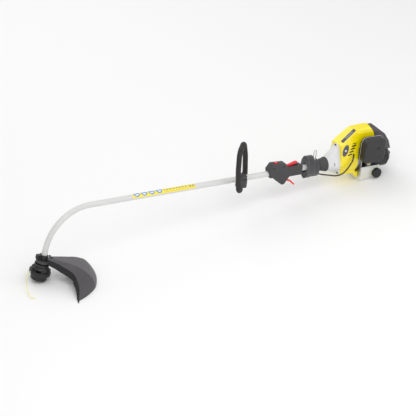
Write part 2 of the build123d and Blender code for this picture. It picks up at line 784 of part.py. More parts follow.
with BuildPart() as clutch_drum:
    with BuildSketch(cross(-82)):
        Circle(6)
    extrude(amount=24)
    with BuildSketch(cross(-59.5)):
        Circle(DRUM_R)
    extrude(amount=3)
    with BuildSketch(cross(-57)):
        ring(DRUM_R, DRUM_R - 2.6)
    extrude(amount=23)

with BuildPart() as clutch_shoes:
    for turn in (0, 180):
        with BuildSketch(cross(-52)):
            with BuildLine():
                CenterArc((0, 0), SHOE_R, turn + 12, 156)
                CenterArc((0, 0), 11, turn + 12, 156)
                for end in (12, 168):
                    Line(*[(r * cos(radians(turn + end)), r * sin(radians(turn + end))) for r in (11, SHOE_R)])
            make_face()
        extrude(amount=16)
    with BuildSketch(cross(-50)):
        ring(11, CRANK_R - 2)
    extrude(amount=12)

with BuildPart() as flywheel:
    with BuildSketch(cross(-4)):
        ring(FAN_R, CRANK_R)
    extrude(amount=5)
    with BuildSketch(cross(-20)):
        ring(13, CRANK_R)
    extrude(amount=17)
    with BuildSketch(cross(-18)):
        with PolarLocations(26, 14):
            Rectangle(20, 2.2)
    extrude(amount=15)

with BuildPart() as crankshaft:
    with BuildSketch(cross(-53)):
        Circle(CRANK_R - 2)
    extrude(amount=20)
    with BuildSketch(cross(-33)):
        Circle(CRANK_R)
    extrude(amount=160)
    for web in (CYL_U - 13, CYL_U + 6):
        with BuildSketch(cross(web)):
            Circle(23)
        extrude(amount=7)
    with BuildSketch(cross(STARTER_FRONT + 8)):
        ring(16, CRANK_R - 1)
    extrude(amount=7)

with BuildPart() as crankcase:
    with BuildSketch(cross(12)):
        Circle(34)
    extrude(amount=CASE_REAR - 12)
    with BuildSketch(deck(20, CYL_U, 0)):
        RectangleRounded(58, 58, 6)
    extrude(amount=18)
    with BuildSketch(cross(CASE_REAR - 0.1)):
        with Locations((0, -20)):
            RectangleRounded(92, 86, 8)
    extrude(amount=3.5)
    with BuildSketch(cross(CYL_U - 18)):
        Circle(26)
    extrude(amount=36, mode=Mode.SUBTRACT)
    with BuildSketch(cross(0)):
        Circle(CRANK_R + 4)
    extrude(amount=100, mode=Mode.SUBTRACT)
    with BuildSketch(deck(10, CYL_U, 0)):
        Circle(BORE_R + 3)
    extrude(amount=40, mode=Mode.SUBTRACT)

with BuildPart() as main_bearings:
    for start in (14, CASE_REAR - 14):
        with BuildSketch(cross(start)):
            ring(CRANK_R + 4, CRANK_R + RUNNING)
        extrude(amount=10)

with BuildPart() as cylinder:
    with BuildSketch(deck(26, CYL_U, 0)):
        ring(BORE_R + 3, BORE_R)
    extrude(amount=74)
    with BuildSketch(deck(100, CYL_U, 0)):
        ring(BORE_R + 3, 4)
    extrude(amount=10)
    for fin in range(10):
        with BuildSketch(deck(42 + 7 * fin, CYL_U, 0)):
            RectangleRounded(64, 55, 8)
            Circle(BORE_R + 2, mode=Mode.SUBTRACT)
        extrude(amount=2.4)
    with BuildSketch(side(0, CYL_U + 26, 76)):
        Rectangle(20, 24)
    extrude(amount=16, both=True)
    with BuildSketch(side(-17, CYL_U + 36, 56)):
        Rectangle(44, 22)
    extrude(amount=13)
    with BuildSketch(deck(26, CYL_U, 0)):
        Circle(BORE_R)
    extrude(amount=74, mode=Mode.SUBTRACT)

with BuildPart() as piston:
    with BuildSketch(deck(58, CYL_U, 0)):
        ring(BORE_R - 0.1, BORE_R - 4)
    extrude(amount=26)
    with BuildSketch(deck(80, CYL_U, 0)):
        Circle(BORE_R - 0.1)
    extrude(amount=4)

with BuildPart() as spark_plug:
    for start, length, radius in ((101, 10, 4), (110, 5, 7.5), (115, 10, 4.6)):
        with BuildSketch(deck(start, CYL_U, 0)):
            Circle(radius)
        extrude(amount=length)

with BuildPart() as plug_cap:
    with BuildSketch(deck(118, CYL_U, 0)):
        ring(8, 4.7)
    extrude(amount=7.5)
    with BuildSketch(deck(125.5, CYL_U, 0)):
        Circle(8)
    extrude(amount=7)

shroud_outline = [(-25, -44), (-25, 87), (-4, 105), (43, 145), (84, 151), (114, 158), (132, 131), (147, 97),
                  (82, 97), (68, 62), (70, 8), (77, -34),
                  (79.4, -70), (68, -66), (56, -48)]

SHROUD_TOP_R = 30.0
SHROUD_TOP_V = 128.0


def shroud_body(inset):
    """Closed body of the shroud, drawn in by an inset."""
    with BuildPart() as body:
        with BuildSketch(side(0)):
            Polygon(*shroud_outline, align=None)
            if inset > 0:
                offset(amount=-inset, kind=Kind.INTERSECTION)
        extrude(amount=60, both=True)
        with BuildSketch(cross(-40)):
            egg(SHROUD_HALF - inset, SHROUD_TOP_R - inset, SHROUD_TOP_V)
            with Locations((0, -60)):
                Rectangle(64 - 2 * inset, 120)
        extrude(amount=220, mode=Mode.INTERSECT)
    return body.part


with BuildPart() as engine_shroud:
    add(shroud_body(0))
    add(shroud_body(SHROUD_WALL), mode=Mode.SUBTRACT)
    with BuildSketch(cross(-30)):
        egg(36, 14, 60)
    extrude(amount=10, mode=Mode.SUBTRACT)
    with BuildSketch(side(0)):
        Polygon((62, -44), (62, 66), (79, 94.4), (150, 94.4), (150, 60), (120, -44), align=None)
    extrude(amount=60, both=True, mode=Mode.SUBTRACT)
    for vent in range(4):
        with BuildSketch(side(-20)):
            with Locations((40 - 3.4 * vent, 92 - 11.5 * vent)):
                SlotOverall(20 - vent, 4.6, rotation=4)
        extrude(amount=40, mode=Mode.SUBTRACT)
    with BuildSketch(side(-20)):
        with Locations((38, 42)):
            Circle(5)
    extrude(amount=40, mode=Mode.SUBTRACT)

with BuildPart() as engine_screws:
    for high, over in ((-30, 38), (-30, -38), (82.4, 0)):
        with BuildSketch(cross(HOUSING_REAR - 11, high, over)):
            Circle(3.6)
            RegularPolygon(1.6, 6, mode=Mode.SUBTRACT)
        extrude(amount=3)

with BuildPart() as muffler:
    with BuildSketch(deck(53, 146, 0)):
        RectangleRounded(72, 62, 12)
    extrude(amount=37)
    fillet(muffler.edges().group_by(Axis(spot(0), UP))[-1], 4)
    with BuildSketch(deck(54.5, 146, 0)):
        RectangleRounded(69, 59, 10.5)
    extrude(amount=34, mode=Mode.SUBTRACT)
    with BuildSketch(side(0, CYL_U + 52, 76)):
        Rectangle(31, 18)
    extrude(amount=14, both=True)
    with BuildSketch(side(-20, 160, 74)):
        Circle(6)
    extrude(amount=-60, mode=Mode.SUBTRACT)

cover_outline = [(150, 96), (134, 131), (116, 158), (142, 152), (192, 114), (214, 80), (223, 48), (118, 48), (118, 94)]


def cover_body(inset):
    """Closed body of the muffler cover, drawn in by an inset."""
    with BuildPart() as body:
        with BuildSketch(side(0)):
            Polygon(*cover_outline, align=None)
            if inset > 0:
                offset(amount=-inset, kind=Kind.INTERSECTION)
        extrude(amount=60, both=True)
        with BuildSketch(cross(100)):
            egg(50 - inset, 32 - inset, 120)
        extrude(amount=160, mode=Mode.INTERSECT)
    return body.part


with BuildPart() as muffler_cover:
    add(cover_body(0))
    add(cover_body(SHROUD_WALL), mode=Mode.SUBTRACT)
    with BuildSketch(side(0)):
        Polygon((80, 53), (200, 53), (200, 40), (80, 40), align=None)
    extrude(amount=60, both=True, mode=Mode.SUBTRACT)
    with BuildSketch(side(0)):
        Polygon((100, 46), (100, 112), (136, 112), (121.5, 46), align=None)
    extrude(amount=60, both=True, mode=Mode.SUBTRACT)
    for slot in range(5):
        with BuildSketch(side(0)):
            with Locations((160 + 11 * slot, 80)):
                SlotOverall(26, 5, rotation=90)
        extrude(amount=-70, mode=Mode.SUBTRACT)

FILTER_U = 112.0
FILTER_V = 68.0
FILTER_SIZE = 112.0
FILTER_BACK = -52.0
FILTER_FACE = -88.0

CARB_U = 90.0
CARB_V = 66.0
PRIMER_U = 108.0
PRIMER_V = 1.0
PRIMER_R = 9.6

with BuildPart() as carburettor:
    with BuildSketch(side(-30.3, CARB_U, CARB_V)):
        RectangleRounded(30, 34, 4)
    extrude(amount=12)
    with BuildSketch(side(-42.3, CARB_U, CARB_V)):
        RectangleRounded(38, 26, 5)
    extrude(amount=9.4)
    with BuildSketch(side(-30.3, CARB_U, CARB_V)):
        Circle(8)
    extrude(amount=22, mode=Mode.SUBTRACT)

with BuildPart() as air_filter_base:
    with BuildSketch(side(FILTER_BACK, FILTER_U, FILTER_V)):
        RectangleRounded(FILTER_SIZE, FILTER_SIZE, 26)
        with Locations((PRIMER_U - FILTER_U, PRIMER_V - FILTER_V + 3)):
            RectangleRounded(28, 36, 4)
        with Locations((PRIMER_U - FILTER_U, PRIMER_V - FILTER_V)):
            Circle(PRIMER_R + 0.4, mode=Mode.SUBTRACT)
        with Locations((CARB_U - FILTER_U, CARB_V - FILTER_V)):
            Circle(9, mode=Mode.SUBTRACT)
    extrude(amount=6)

with BuildPart() as air_filter_element:
    with BuildSketch(side(FILTER_BACK - 7, FILTER_U, FILTER_V + 6)):
        RectangleRounded(84, 78, 12)
    extrude(amount=16)

with BuildPart() as air_filter_cover:
    with BuildSketch(side(FILTER_BACK - 6.2, FILTER_U, FILTER_V)):
        RectangleRounded(FILTER_SIZE, FILTER_SIZE, 26)
    extrude(amount=29.8, taper=7)
    fillet(air_filter_cover.faces().sort_by(Axis.Y)[0].edges(), 7)
    with BuildSketch(side(FILTER_BACK - 6.2, FILTER_U, FILTER_V)):
        RectangleRounded(FILTER_SIZE - 6, FILTER_SIZE - 6, 23)
    extrude(amount=26, taper=7, mode=Mode.SUBTRACT)
    with BuildSketch(side(FILTER_FACE + 6, FILTER_U + 16, FILTER_V + 10)):
        Circle(6)
    extrude(amount=10, mode=Mode.SUBTRACT)

with BuildPart() as filter_cover_screw:
    with BuildSketch(side(FILTER_FACE + 2, FILTER_U + 16, FILTER_V + 10)):
        Circle(5.6)
        Rectangle(8, 1.6, mode=Mode.SUBTRACT)
    extrude(amount=3)
    with BuildSketch(side(FILTER_BACK - 24, FILTER_U + 16, FILTER_V + 10)):
        Circle(2.5)
    extrude(amount=10.4)

with BuildPart() as choke_lever:
    with BuildSketch(side(FILTER_BACK + 4.6, FILTER_U + 40, FILTER_V - 50)):
        Circle(6)
        with Locations((12, -9)):
            Rectangle(26, 6, rotation=-38)
        Circle(2.5, mode=Mode.SUBTRACT)
    extrude(amount=4)

with BuildPart() as choke_pin:
    with BuildSketch(side(FILTER_BACK + 6, FILTER_U + 40, FILTER_V - 50)):
        Circle(2.45)
    extrude(amount=6)

with BuildPart() as primer_bulb:
    with BuildSketch(side(FILTER_BACK - 6.3, PRIMER_U, PRIMER_V)):
        Circle(PRIMER_R)
    extrude(amount=3)
    with BuildSketch(side(FILTER_BACK - 9.3, PRIMER_U, PRIMER_V)):
        Circle(PRIMER_R - 1.6)
    extrude(amount=5, taper=25)

TANK_FRONT = 84.0
TANK_REAR = 182.0
TANK_BOTTOM = -100.0
CAP_U = 160.0
CAP_V = -52.0
CAP_Y = -50.0
CAP_R = 21.0

with BuildPart() as fuel_tank:
    with BuildSketch(side(0)):
        Polygon((TANK_FRONT, TANK_BOTTOM), (TANK_FRONT, -14), (TANK_REAR - 6, -14), (TANK_REAR, -22),
                (TANK_REAR, TANK_BOTTOM), align=None)
    extrude(amount=44, both=True)
    with BuildSketch(Plane.XY):
        Rectangle(600, 300)
    extrude(amount=-60, mode=Mode.SUBTRACT)
    fillet(fuel_tank.edges().filter_by(Axis(spot(0), ACROSS)), 6)
    fillet(fuel_tank.faces().sort_by(Axis.Y)[0].edges(), 7)
    fillet(fuel_tank.faces().sort_by(Axis.Y)[-1].edges(), 7)
    with BuildSketch(cross(TANK_FRONT - 4)):
        Circle(STARTER_R + 3.4)
    extrude(amount=130, mode=Mode.SUBTRACT)
    with BuildSketch(side(-38, CAP_U, CAP_V)):
        Circle(17)
    extrude(amount=11)

with BuildPart() as fuel_cap:
    with BuildSketch(side(CAP_Y, CAP_U, CAP_V)):
        Circle(CAP_R)
    extrude(amount=14)
    fillet(fuel_cap.faces().sort_by(Axis.Y)[0].edges(), 2)
    with BuildSketch(side(CAP_Y + 1, CAP_U, CAP_V)):
        with PolarLocations(CAP_R + 1.2, 18):
            Circle(2.2)
    extrude(amount=20, mode=Mode.SUBTRACT)

with BuildPart() as starter_housing:
    with BuildSketch(side(0)):
        with BuildLine():
            Polyline((STARTER_FRONT, CRANK_R + 12), (STARTER_FRONT, STARTER_R), (STARTER_REAR - 14, STARTER_R),
                     (STARTER_REAR, STARTER_R - 12), (STARTER_REAR, 1.5), (STARTER_REAR - 3, 1.5),
                     (STARTER_REAR - 3, STARTER_R - 13), (STARTER_REAR - 15, STARTER_R - 3),
                     (STARTER_WEB + 3, STARTER_R - 3), (STARTER_WEB + 3, 2.5), (STARTER_WEB - 20, 2.5),
                     (STARTER_WEB - 20, 6), (STARTER_WEB, 6), (STARTER_WEB, STARTER_R - 3),
                     (STARTER_FRONT + 3, STARTER_R - 3), (STARTER_FRONT + 3, CRANK_R + 12), close=True)
        make_face()
    revolve(axis=Axis(spot(0), AXIS))
    with BuildSketch(cross(STARTER_REAR - 10, 6, 0)):
        Circle(8.5)
    extrude(amount=9)
    with BuildSketch(cross(STARTER_REAR - 12, 6, 0)):
        Circle(3)
    extrude(amount=20, mode=Mode.SUBTRACT)
    with BuildSketch(cross(STARTER_REAR - 4)):
        with PolarLocations(24, 8, start_angle=22.5):
            SlotOverall(11, 4)
    extrude(amount=8, mode=Mode.SUBTRACT)
    with BuildSketch(cross(CASE_REAR + 3.4)):
        with PolarLocations(STARTER_R - 7, 4, start_angle=45):
            Circle(5)
    extrude(amount=STARTER_FRONT - CASE_REAR - 1.4)

with BuildPart() as starter_pulley:
    for start, thick, radius in ((137, 3, 30), (140, 8, 26), (148, 3, 30)):
        with BuildSketch(cross(start)):
            ring(radius, 6 + RUNNING)
        extrude(amount=thick)

with BuildPart() as starter_handle:
    with BuildSketch(cross(STARTER_REAR + 0.6, 6, 0)):
        Circle(8)
    extrude(amount=9)
    with BuildSketch(cross(STARTER_REAR + 9.6, 6, 0)):
        Ellipse(14, 7)
    extrude(amount=9)
    fillet(starter_handle.edges().group_by(Axis(spot(0), AXIS))[-1], 3)

with BuildPart() as starter_rope:
    with BuildSketch(cross(STARTER_REAR - 60, 6, 0)):
        Circle(2)
    extrude(amount=60.6)

# Fasteners, ball bearings and hinge pins of one kind share a node as separate solids.
with BuildPart() as screws:
    for group in (head_clamp_screw, guard_screws, handle_screws, hanger_screw, engine_screws, filter_cover_screw):
        add(group.part)

with BuildPart() as ball_bearings:
    for group in (head_bearings, clutch_bearing, main_bearings):
        add(group.part)

with BuildPart() as pivot_pins:
    for group in (handle_pins, choke_pin):
        add(group.part)

with BuildPart() as starter_grip:
    add(starter_handle.part)
    add(starter_rope.part)

pieces = {
    "shaft_tube": shaft_tube, "flex_liner": flex_liner, "flex_drive_shaft": flex_drive_shaft,
    "bearing_housing": bearing_housing, "head_arbor": head_arbor, "dust_cup": dust_cup,
    "spool_housing": spool_housing, "line_eyelets": line_eyelets, "spool": spool, "wound_line": wound_line,
    "bump_spring": bump_spring, "bump_knob": bump_knob, "trimmer_line": trimmer_line, "guard": guard,
    "guard_clamp": guard_clamp, "line_cutter_blade": line_cutter_blade, "loop_bar": loop_bar,
    "loop_grip": loop_grip, "loop_clamp_lower": loop_clamp_lower, "loop_clamp_upper": loop_clamp_upper,
    "loop_clamp_screws": loop_clamp_screws, "throttle_handle_left": throttle_handle_left,
    "throttle_handle_right": throttle_handle_right, "throttle_trigger": throttle_trigger,
    "lockout_lever": lockout_lever, "stop_switch": stop_switch, "throttle_conduit": throttle_conduit,
    "harness_strap_roll": harness_strap_roll, "harness_strap_end": harness_strap_end,
    "hanger_band": hanger_band, "snap_hook": snap_hook, "snap_hook_gate": snap_hook_gate,
    "rubber_boot": rubber_boot, "clutch_housing": clutch_housing, "clutch_drum": clutch_drum,
    "clutch_shoes": clutch_shoes, "flywheel": flywheel, "crankshaft": crankshaft, "crankcase": crankcase,
    "cylinder": cylinder, "piston": piston, "spark_plug": spark_plug, "plug_cap": plug_cap,
    "engine_shroud": engine_shroud, "muffler": muffler, "muffler_cover": muffler_cover,
    "carburettor": carburettor, "air_filter_base": air_filter_base,
    "air_filter_element": air_filter_element, "air_filter_cover": air_filter_cover,
    "choke_lever": choke_lever, "primer_bulb": primer_bulb, "fuel_tank": fuel_tank, "fuel_cap": fuel_cap,
    "starter_housing": starter_housing, "starter_pulley": starter_pulley, "starter_grip": starter_grip,
    "screws": screws, "ball_bearings": ball_bearings, "pivot_pins": pivot_pins,
}
print(len(pieces), "pieces")
for label, piece in pieces.items():
    piece.part.label = label
    export_step(piece.part, f"parts/{label}.step")
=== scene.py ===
# %% [markdown]
# # Petrol string trimmer
# A curved-shaft string trimmer lies on the floor. Its metal and plastic pieces come from the packed
# CAD frame, each as its own object, and this notebook gives every one of them a finish. The pieces
# that a solid modeller draws badly are made here as surfaces worked out with numpy: the trimmer
# line, the ribbed hand loop, the wound harness strap, the guard's moulded shell and the small trims.

# %% Load the frame
import bpy
import bmesh
import json
import numpy as np
from math import cos, pi, radians, sin
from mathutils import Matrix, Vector


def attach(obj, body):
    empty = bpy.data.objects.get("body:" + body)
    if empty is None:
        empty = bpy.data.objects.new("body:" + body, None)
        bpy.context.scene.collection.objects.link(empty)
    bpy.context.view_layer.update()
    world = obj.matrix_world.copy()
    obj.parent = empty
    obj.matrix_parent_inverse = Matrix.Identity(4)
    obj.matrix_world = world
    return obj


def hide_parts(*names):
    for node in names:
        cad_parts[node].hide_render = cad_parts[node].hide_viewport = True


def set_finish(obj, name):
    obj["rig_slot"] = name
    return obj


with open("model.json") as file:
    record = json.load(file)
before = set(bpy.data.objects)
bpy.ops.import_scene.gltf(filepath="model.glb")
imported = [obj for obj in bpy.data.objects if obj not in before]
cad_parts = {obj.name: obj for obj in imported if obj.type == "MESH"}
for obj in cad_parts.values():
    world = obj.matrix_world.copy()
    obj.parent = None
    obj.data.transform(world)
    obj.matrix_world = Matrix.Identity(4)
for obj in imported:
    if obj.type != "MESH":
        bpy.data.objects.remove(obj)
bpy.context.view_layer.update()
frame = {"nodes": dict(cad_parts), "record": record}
joints = {joint["name"]: joint for joint in frame["record"]["behaviour"]["joints"]}
MM = 0.001

# %% [markdown]
# ## Places on the tool
# Two straight lines carry everything. The engine, the handles and the strap sit on the shaft axis,
# and the head and the guard turn about the head axis. Both axes are joints of the frame, so the
# places are read from there: (u, v, y) is along the shaft to the engine's rear, up from it, and to
# the user's right, and (t, x, y) is down the head axis, towards the engine, and to the right.

# %% Shaft and head axes
DATUM = np.array(joints["crank_spin"]["pos_m"])
AXIS = np.array(joints["crank_spin"]["axis"])
ACROSS = np.array([0.0, 1.0, 0.0])
UP = np.cross(AXIS, ACROSS)
HEAD_TOP = np.array(joints["head_spin"]["pos_m"])
HEAD_DOWN = np.array(joints["head_spin"]["axis"])
HEAD_X = np.cross(HEAD_DOWN, ACROSS)


def tool(u, v=0.0, y=0.0):
    """World place of millimetres along the shaft, up and across: a sum of three directions."""
    u, v, y = np.broadcast_arrays(np.asarray(u, float), v, y)
    return DATUM + MM * (u[..., None] * AXIS + v[..., None] * UP + y[..., None] * ACROSS)


def head(t, x=0.0, y=0.0):
    """World place of millimetres down the head axis, towards the engine and across."""
    t, x, y = np.broadcast_arrays(np.asarray(t, float), x, y)
    return HEAD_TOP + MM * (t[..., None] * HEAD_DOWN + x[..., None] * HEAD_X + y[..., None] * ACROSS)


print("shaft up", np.round(UP, 3), "head x", np.round(HEAD_X, 3))

# %% [markdown]
# ## Camera
# Something this long is seen from far away through a long lens, so that the near end isn't
# swollen. The camera stands 30 degrees up and 33 degrees round to the user's left.

# %% Camera
AZIMUTH = radians(-33)
ELEVATION = radians(30)
DISTANCE = 17.0
FRAME_WIDTH = 1.707      # metres seen across the middle of the tool
SENSOR = 36.0
aim = Vector((-0.7667, 0.0, 0.0807))
towards_camera = Vector((sin(AZIMUTH) * cos(ELEVATION), -cos(AZIMUTH) * cos(ELEVATION), sin(ELEVATION)))
camera_data = bpy.data.cameras.new("camera")
camera_data.sensor_width = SENSOR
camera_data.lens = SENSOR * DISTANCE / FRAME_WIDTH
camera_data.clip_end = 100
camera = bpy.data.objects.new("camera", camera_data)
camera.location = aim + towards_camera * DISTANCE
camera.rotation_euler = (-towards_camera).to_track_quat("-Z", "Y").to_euler()
bpy.context.scene.collection.objects.link(camera)
bpy.context.scene.camera = camera
print("lens", round(camera_data.lens, 1))

# %% [markdown]
# ## Trimmer line
# A few centimetres of stiff nylon leave the eyelet, bend down under their own weight and end bare on
# the floor. A tube of sampled rings would work, but a NURBS curve with a round bevel is shorter and
# stays smooth at any size: its control points are the corners of the route in the CAD model. The
# bevel is one metre deep and each point's radius scales it down to the line, so that the curve's own
# box hugs it.

# %% Trimmer line
LINE_WIDTH = 2.4 * MM
line_exit = head(76, -48.7)
line_steps = MM * np.array([(0, 0, 0), (-14.5, -3, 3), (-31, -24, -9), (-45, -47, -22), (-55, -72, -35),
                            (-60, -97, -46), (-54, -109, -50.4), (-44, -114, -50.9)])
line_route = line_exit + line_steps
line_curve = bpy.data.curves.new("trimmer_line_end", "CURVE")
line_curve.dimensions = "3D"
line_curve.bevel_depth = 1.0
line_curve.bevel_resolution = 4
line_curve.resolution_u = 16
line_curve.use_fill_caps = True
line_spline = line_curve.splines.new("NURBS")
line_spline.points.add(len(line_route) - 1)
line_spline.points.foreach_set("co", np.column_stack([line_route, np.ones(len(line_route))]).ravel())
line_spline.points.foreach_set("radius", np.full(len(line_route), LINE_WIDTH / 2))
line_spline.order_u = 3
line_spline.use_endpoint_u = True
trimmer_line_end = bpy.data.objects.new("trimmer_line_end", line_curve)
bpy.context.scene.collection.objects.link(trimmer_line_end)
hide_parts("trimmer_line")
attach(trimmer_line_end, "head")
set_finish(trimmer_line_end, "line_nylon")
print("line leaves at", np.round(line_exit, 4))

# %% [markdown]
# ## Floor and light
# A plain pale floor under broad soft lights keeps a faint shadow under the tool. The lights are
# large, so their reflections in the glossy shroud are wide and gentle. Each has its place, size and
# power in one table.

# %% Floor and light
def area_light(name, place, size, power):
    """Square light that looks at the middle of the tool."""
    data = bpy.data.lights.new(name, "AREA")
    data.size = size
    data.energy = power
    lamp = bpy.data.objects.new(name, data)
    lamp.location = place
    lamp.rotation_euler = (aim - Vector(place)).to_track_quat("-Z", "Y").to_euler()
    bpy.context.scene.collection.objects.link(lamp)


LIGHTS = (("key_light", (-1.8, -2.2, 3.2), 2.6, 46),      # name, metres, metres, watts
          ("fill_light", (1.6, -2.0, 2.2), 2.4, 20),
          ("back_light", (-0.6, 2.6, 2.6), 2.4, 23))
WORLD_STRENGTH = 0.70
for light in LIGHTS:
    area_light(*light)
world = bpy.data.worlds.new("studio")
world.use_nodes = True
world.node_tree.nodes["Background"].inputs["Color"].default_value = (1, 1, 1, 1)
world.node_tree.nodes["Background"].inputs["Strength"].default_value = WORLD_STRENGTH
bpy.context.scene.world = world
bpy.context.scene.view_settings.view_transform = "Standard"
print(len(LIGHTS), "lights, world", WORLD_STRENGTH)

# %% [markdown]
# ## Meshes from grids
# Every new piece is a grid of points, row after row, that numpy works out as one array. One helper
# joins neighbouring points with quads. A thin piece such as a label, a strap or the guard's shell is
# two grids, its outside and its inside, sewn together along the border, so that it is closed.

# %% Grid helpers
def mesh_object(name, points, faces, uv=None, sharp=35):
    """Object from an array of points and faces by index. Normals are turned outwards, and edges
    steeper than `sharp` degrees stay crisp."""
    mesh = bpy.data.meshes.new(name)
    corners = faces.tolist() if isinstance(faces, np.ndarray) else faces
    mesh.from_pydata(points.reshape(-1, 3).tolist(), [], corners)
    if uv is not None:
        corner_point = np.empty(len(mesh.loops), int)
        mesh.loops.foreach_get("vertex_index", corner_point)
        mesh.uv_layers.new(name="UVMap").data.foreach_set("uv", uv.reshape(-1, 2)[corner_point].ravel())
    shape = bmesh.new()
    shape.from_mesh(mesh)
    bmesh.ops.recalc_face_normals(shape, faces=shape.faces)
    shape.to_mesh(mesh)
    shape.free()
    mesh.polygons.foreach_set("use_smooth", np.ones(len(mesh.polygons), bool))
    mesh.set_sharp_from_angle(angle=radians(sharp))
    piece = bpy.data.objects.new(name, mesh)
    bpy.context.scene.collection.objects.link(piece)
    print(name, len(mesh.polygons), "faces")
    return piece


def grid_quads(rows, columns, wrap_rows=False, wrap_columns=False):
    """Quad (i, j) joins the grid points (i, j), (i, j+1), (i+1, j+1) and (i+1, j)."""
    i = np.arange(rows if wrap_rows else rows - 1)[:, None]
    j = np.arange(columns if wrap_columns else columns - 1)[None, :]
    i_next, j_next = (i + 1) % rows, (j + 1) % columns
    quads = np.stack(np.broadcast_arrays(i * columns + j, i * columns + j_next,
                                         i_next * columns + j_next, i_next * columns + j), axis=-1)
    return quads.reshape(-1, 4)


def tube_surface(name, rings, closed_path=False, sharp=35, uv=None):
    """Rings of points along a path: an array of rows, each one ring round. Open ends get a cap."""
    rows, columns = rings.shape[:2]
    faces = grid_quads(rows, columns, wrap_rows=closed_path, wrap_columns=True).tolist()
    if not closed_path:
        faces.append(list(range(columns)))
        faces.append(list(range((rows - 1) * columns, rows * columns)))
    return mesh_object(name, rings, faces, uv=uv, sharp=sharp)


def shell_surface(name, outside, inside, uv=None, sharp=35):
    """Closed thin piece: each row runs over the outside and back over the inside."""
    rows, columns = outside.shape[:2]
    points = np.concatenate([outside, inside[:, ::-1]], axis=1)
    faces = grid_quads(rows, 2 * columns, wrap_columns=True)
    j = np.arange(columns - 1)
    far = 2 * columns - 1
    first = np.stack([j, j + 1, far - j - 1, far - j], axis=-1)
    last = first + (rows - 1) * 2 * columns
    whole_uv = None if uv is None else np.concatenate([uv, uv[:, ::-1]], axis=1)
    return mesh_object(name, points, np.concatenate([faces, first, last]), uv=whole_uv, sharp=sharp)


def fit(piece, body, slot):
    """Put a finished piece on a body of the frame and name its material slot."""
    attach(piece, body)
    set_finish(piece, slot)
    return piece


# %% [markdown]
# ## Hand loop
# The loop is a steel bar with a thick ribbed rubber sleeve moulded over it. The ribs could be bump
# only, but they show on the outline, so the radius itself rises and falls along the bar. The loop is
# flat, so one direction of every ring is the loop's own normal and the other follows the bar.

# %% Ribbed grip
LOOP_U, LOOP_SWEEP = -494.0, radians(45)
LOOP_HALF, LOOP_TOP, LOOP_LOW = 70.0, 144.0, -34.0
GRIP_R, RIB_PITCH, RIB_HEIGHT = 11.2, 9.0, 0.75
BAR_R, SHOULDER = 7.0, 4.0       # sleeve's end radius, and the length it swells over


def rounded_route(corners, radii, step):
    """Places along straight runs joined by arcs, evenly spaced: each corner gives way to an arc
    that starts and ends a radius times the tangent of half the turn from it."""
    places = [corners[0]]
    for before, at, after, radius in zip(corners, corners[1:], corners[2:], radii):
        come, go = (at - before) / np.linalg.norm(at - before), (after - at) / np.linalg.norm(after - at)
        turn = np.arccos(np.clip(come @ go, -1, 1))
        bend = np.linspace(0, turn, 24)[:, None]
        start = at - come * radius * np.tan(turn / 2)
        inward = (go - come * (come @ go)) / np.sin(turn)
        places.extend(start + radius * (np.sin(bend) * come + (1 - np.cos(bend)) * inward))
    places = np.array(places + [corners[-1]])
    far = np.concatenate([[0], np.cumsum(np.linalg.norm(np.diff(places, axis=0), axis=1))])
    even = np.linspace(0, far[-1], int(far[-1] / step))
    return np.column_stack([np.interp(even, far, places[:, k]) for k in range(places.shape[1])]), even


def ribbed_loop():
    """Radius along the bar is the grip's radius plus a rib at every pitch, a raised cosine cubed,
    and shrinks to a round shoulder over the last few millimetres of each end."""
    start = 27.0
    corners = np.array([(start, LOOP_LOW), (LOOP_HALF - 4, LOOP_LOW), (LOOP_HALF + 2, 70),
                        (LOOP_HALF - 26, LOOP_TOP), (26 - LOOP_HALF, LOOP_TOP), (-LOOP_HALF - 2, 70),
                        (4 - LOOP_HALF, LOOP_LOW), (-start, LOOP_LOW)])
    flat, along = rounded_route(corners, [34, 60, 36, 36, 60, 34], 0.9)
    run = np.gradient(flat, axis=0)
    run = run / np.linalg.norm(run, axis=1)[:, None]
    out = np.column_stack([run[:, 1], -run[:, 0]])
    ends = np.minimum(along, along[-1] - along)
    shoulder = np.sqrt(np.clip(1 - (1 - np.clip(ends / SHOULDER, 0, 1)) ** 2, 0, 1))
    rib = (0.5 + 0.5 * np.cos(2 * pi * along / RIB_PITCH)) ** 3
    radius = BAR_R + (GRIP_R - BAR_R - 0.4 + RIB_HEIGHT * rib) * shoulder
    angle = np.linspace(0, 2 * pi, 40, endpoint=False)
    right = np.array([sin(LOOP_SWEEP), cos(LOOP_SWEEP), 0])
    normal = np.cross(right, [0, 0, 1])
    flat_ring = flat[:, None, :] + (radius[:, None] * np.cos(angle))[..., None] * out[:, None, :]
    deep_ring = radius[:, None] * np.sin(angle)
    return tool(LOOP_U) + MM * (flat_ring[..., :1] * right + flat_ring[..., 1:] * [0, 0, 1]
                                + deep_ring[..., None] * normal)


loop_grip_ribbed = fit(tube_surface("loop_grip_ribbed", ribbed_loop(), sharp=60), "loop", "loop_rubber")
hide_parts("loop_grip")

# %% [markdown]
# ## Harness strap
# The shoulder strap is rolled up round the shaft for the shop. A solid roll would show no edges, so
# each roll is one strip of webbing wound as a spiral: the turns spread from a round core to a tall
# oval, and a slow wave keeps them from lying perfectly even.

# %% Wound webbing
WEBBING = 1.9            # millimetres thick


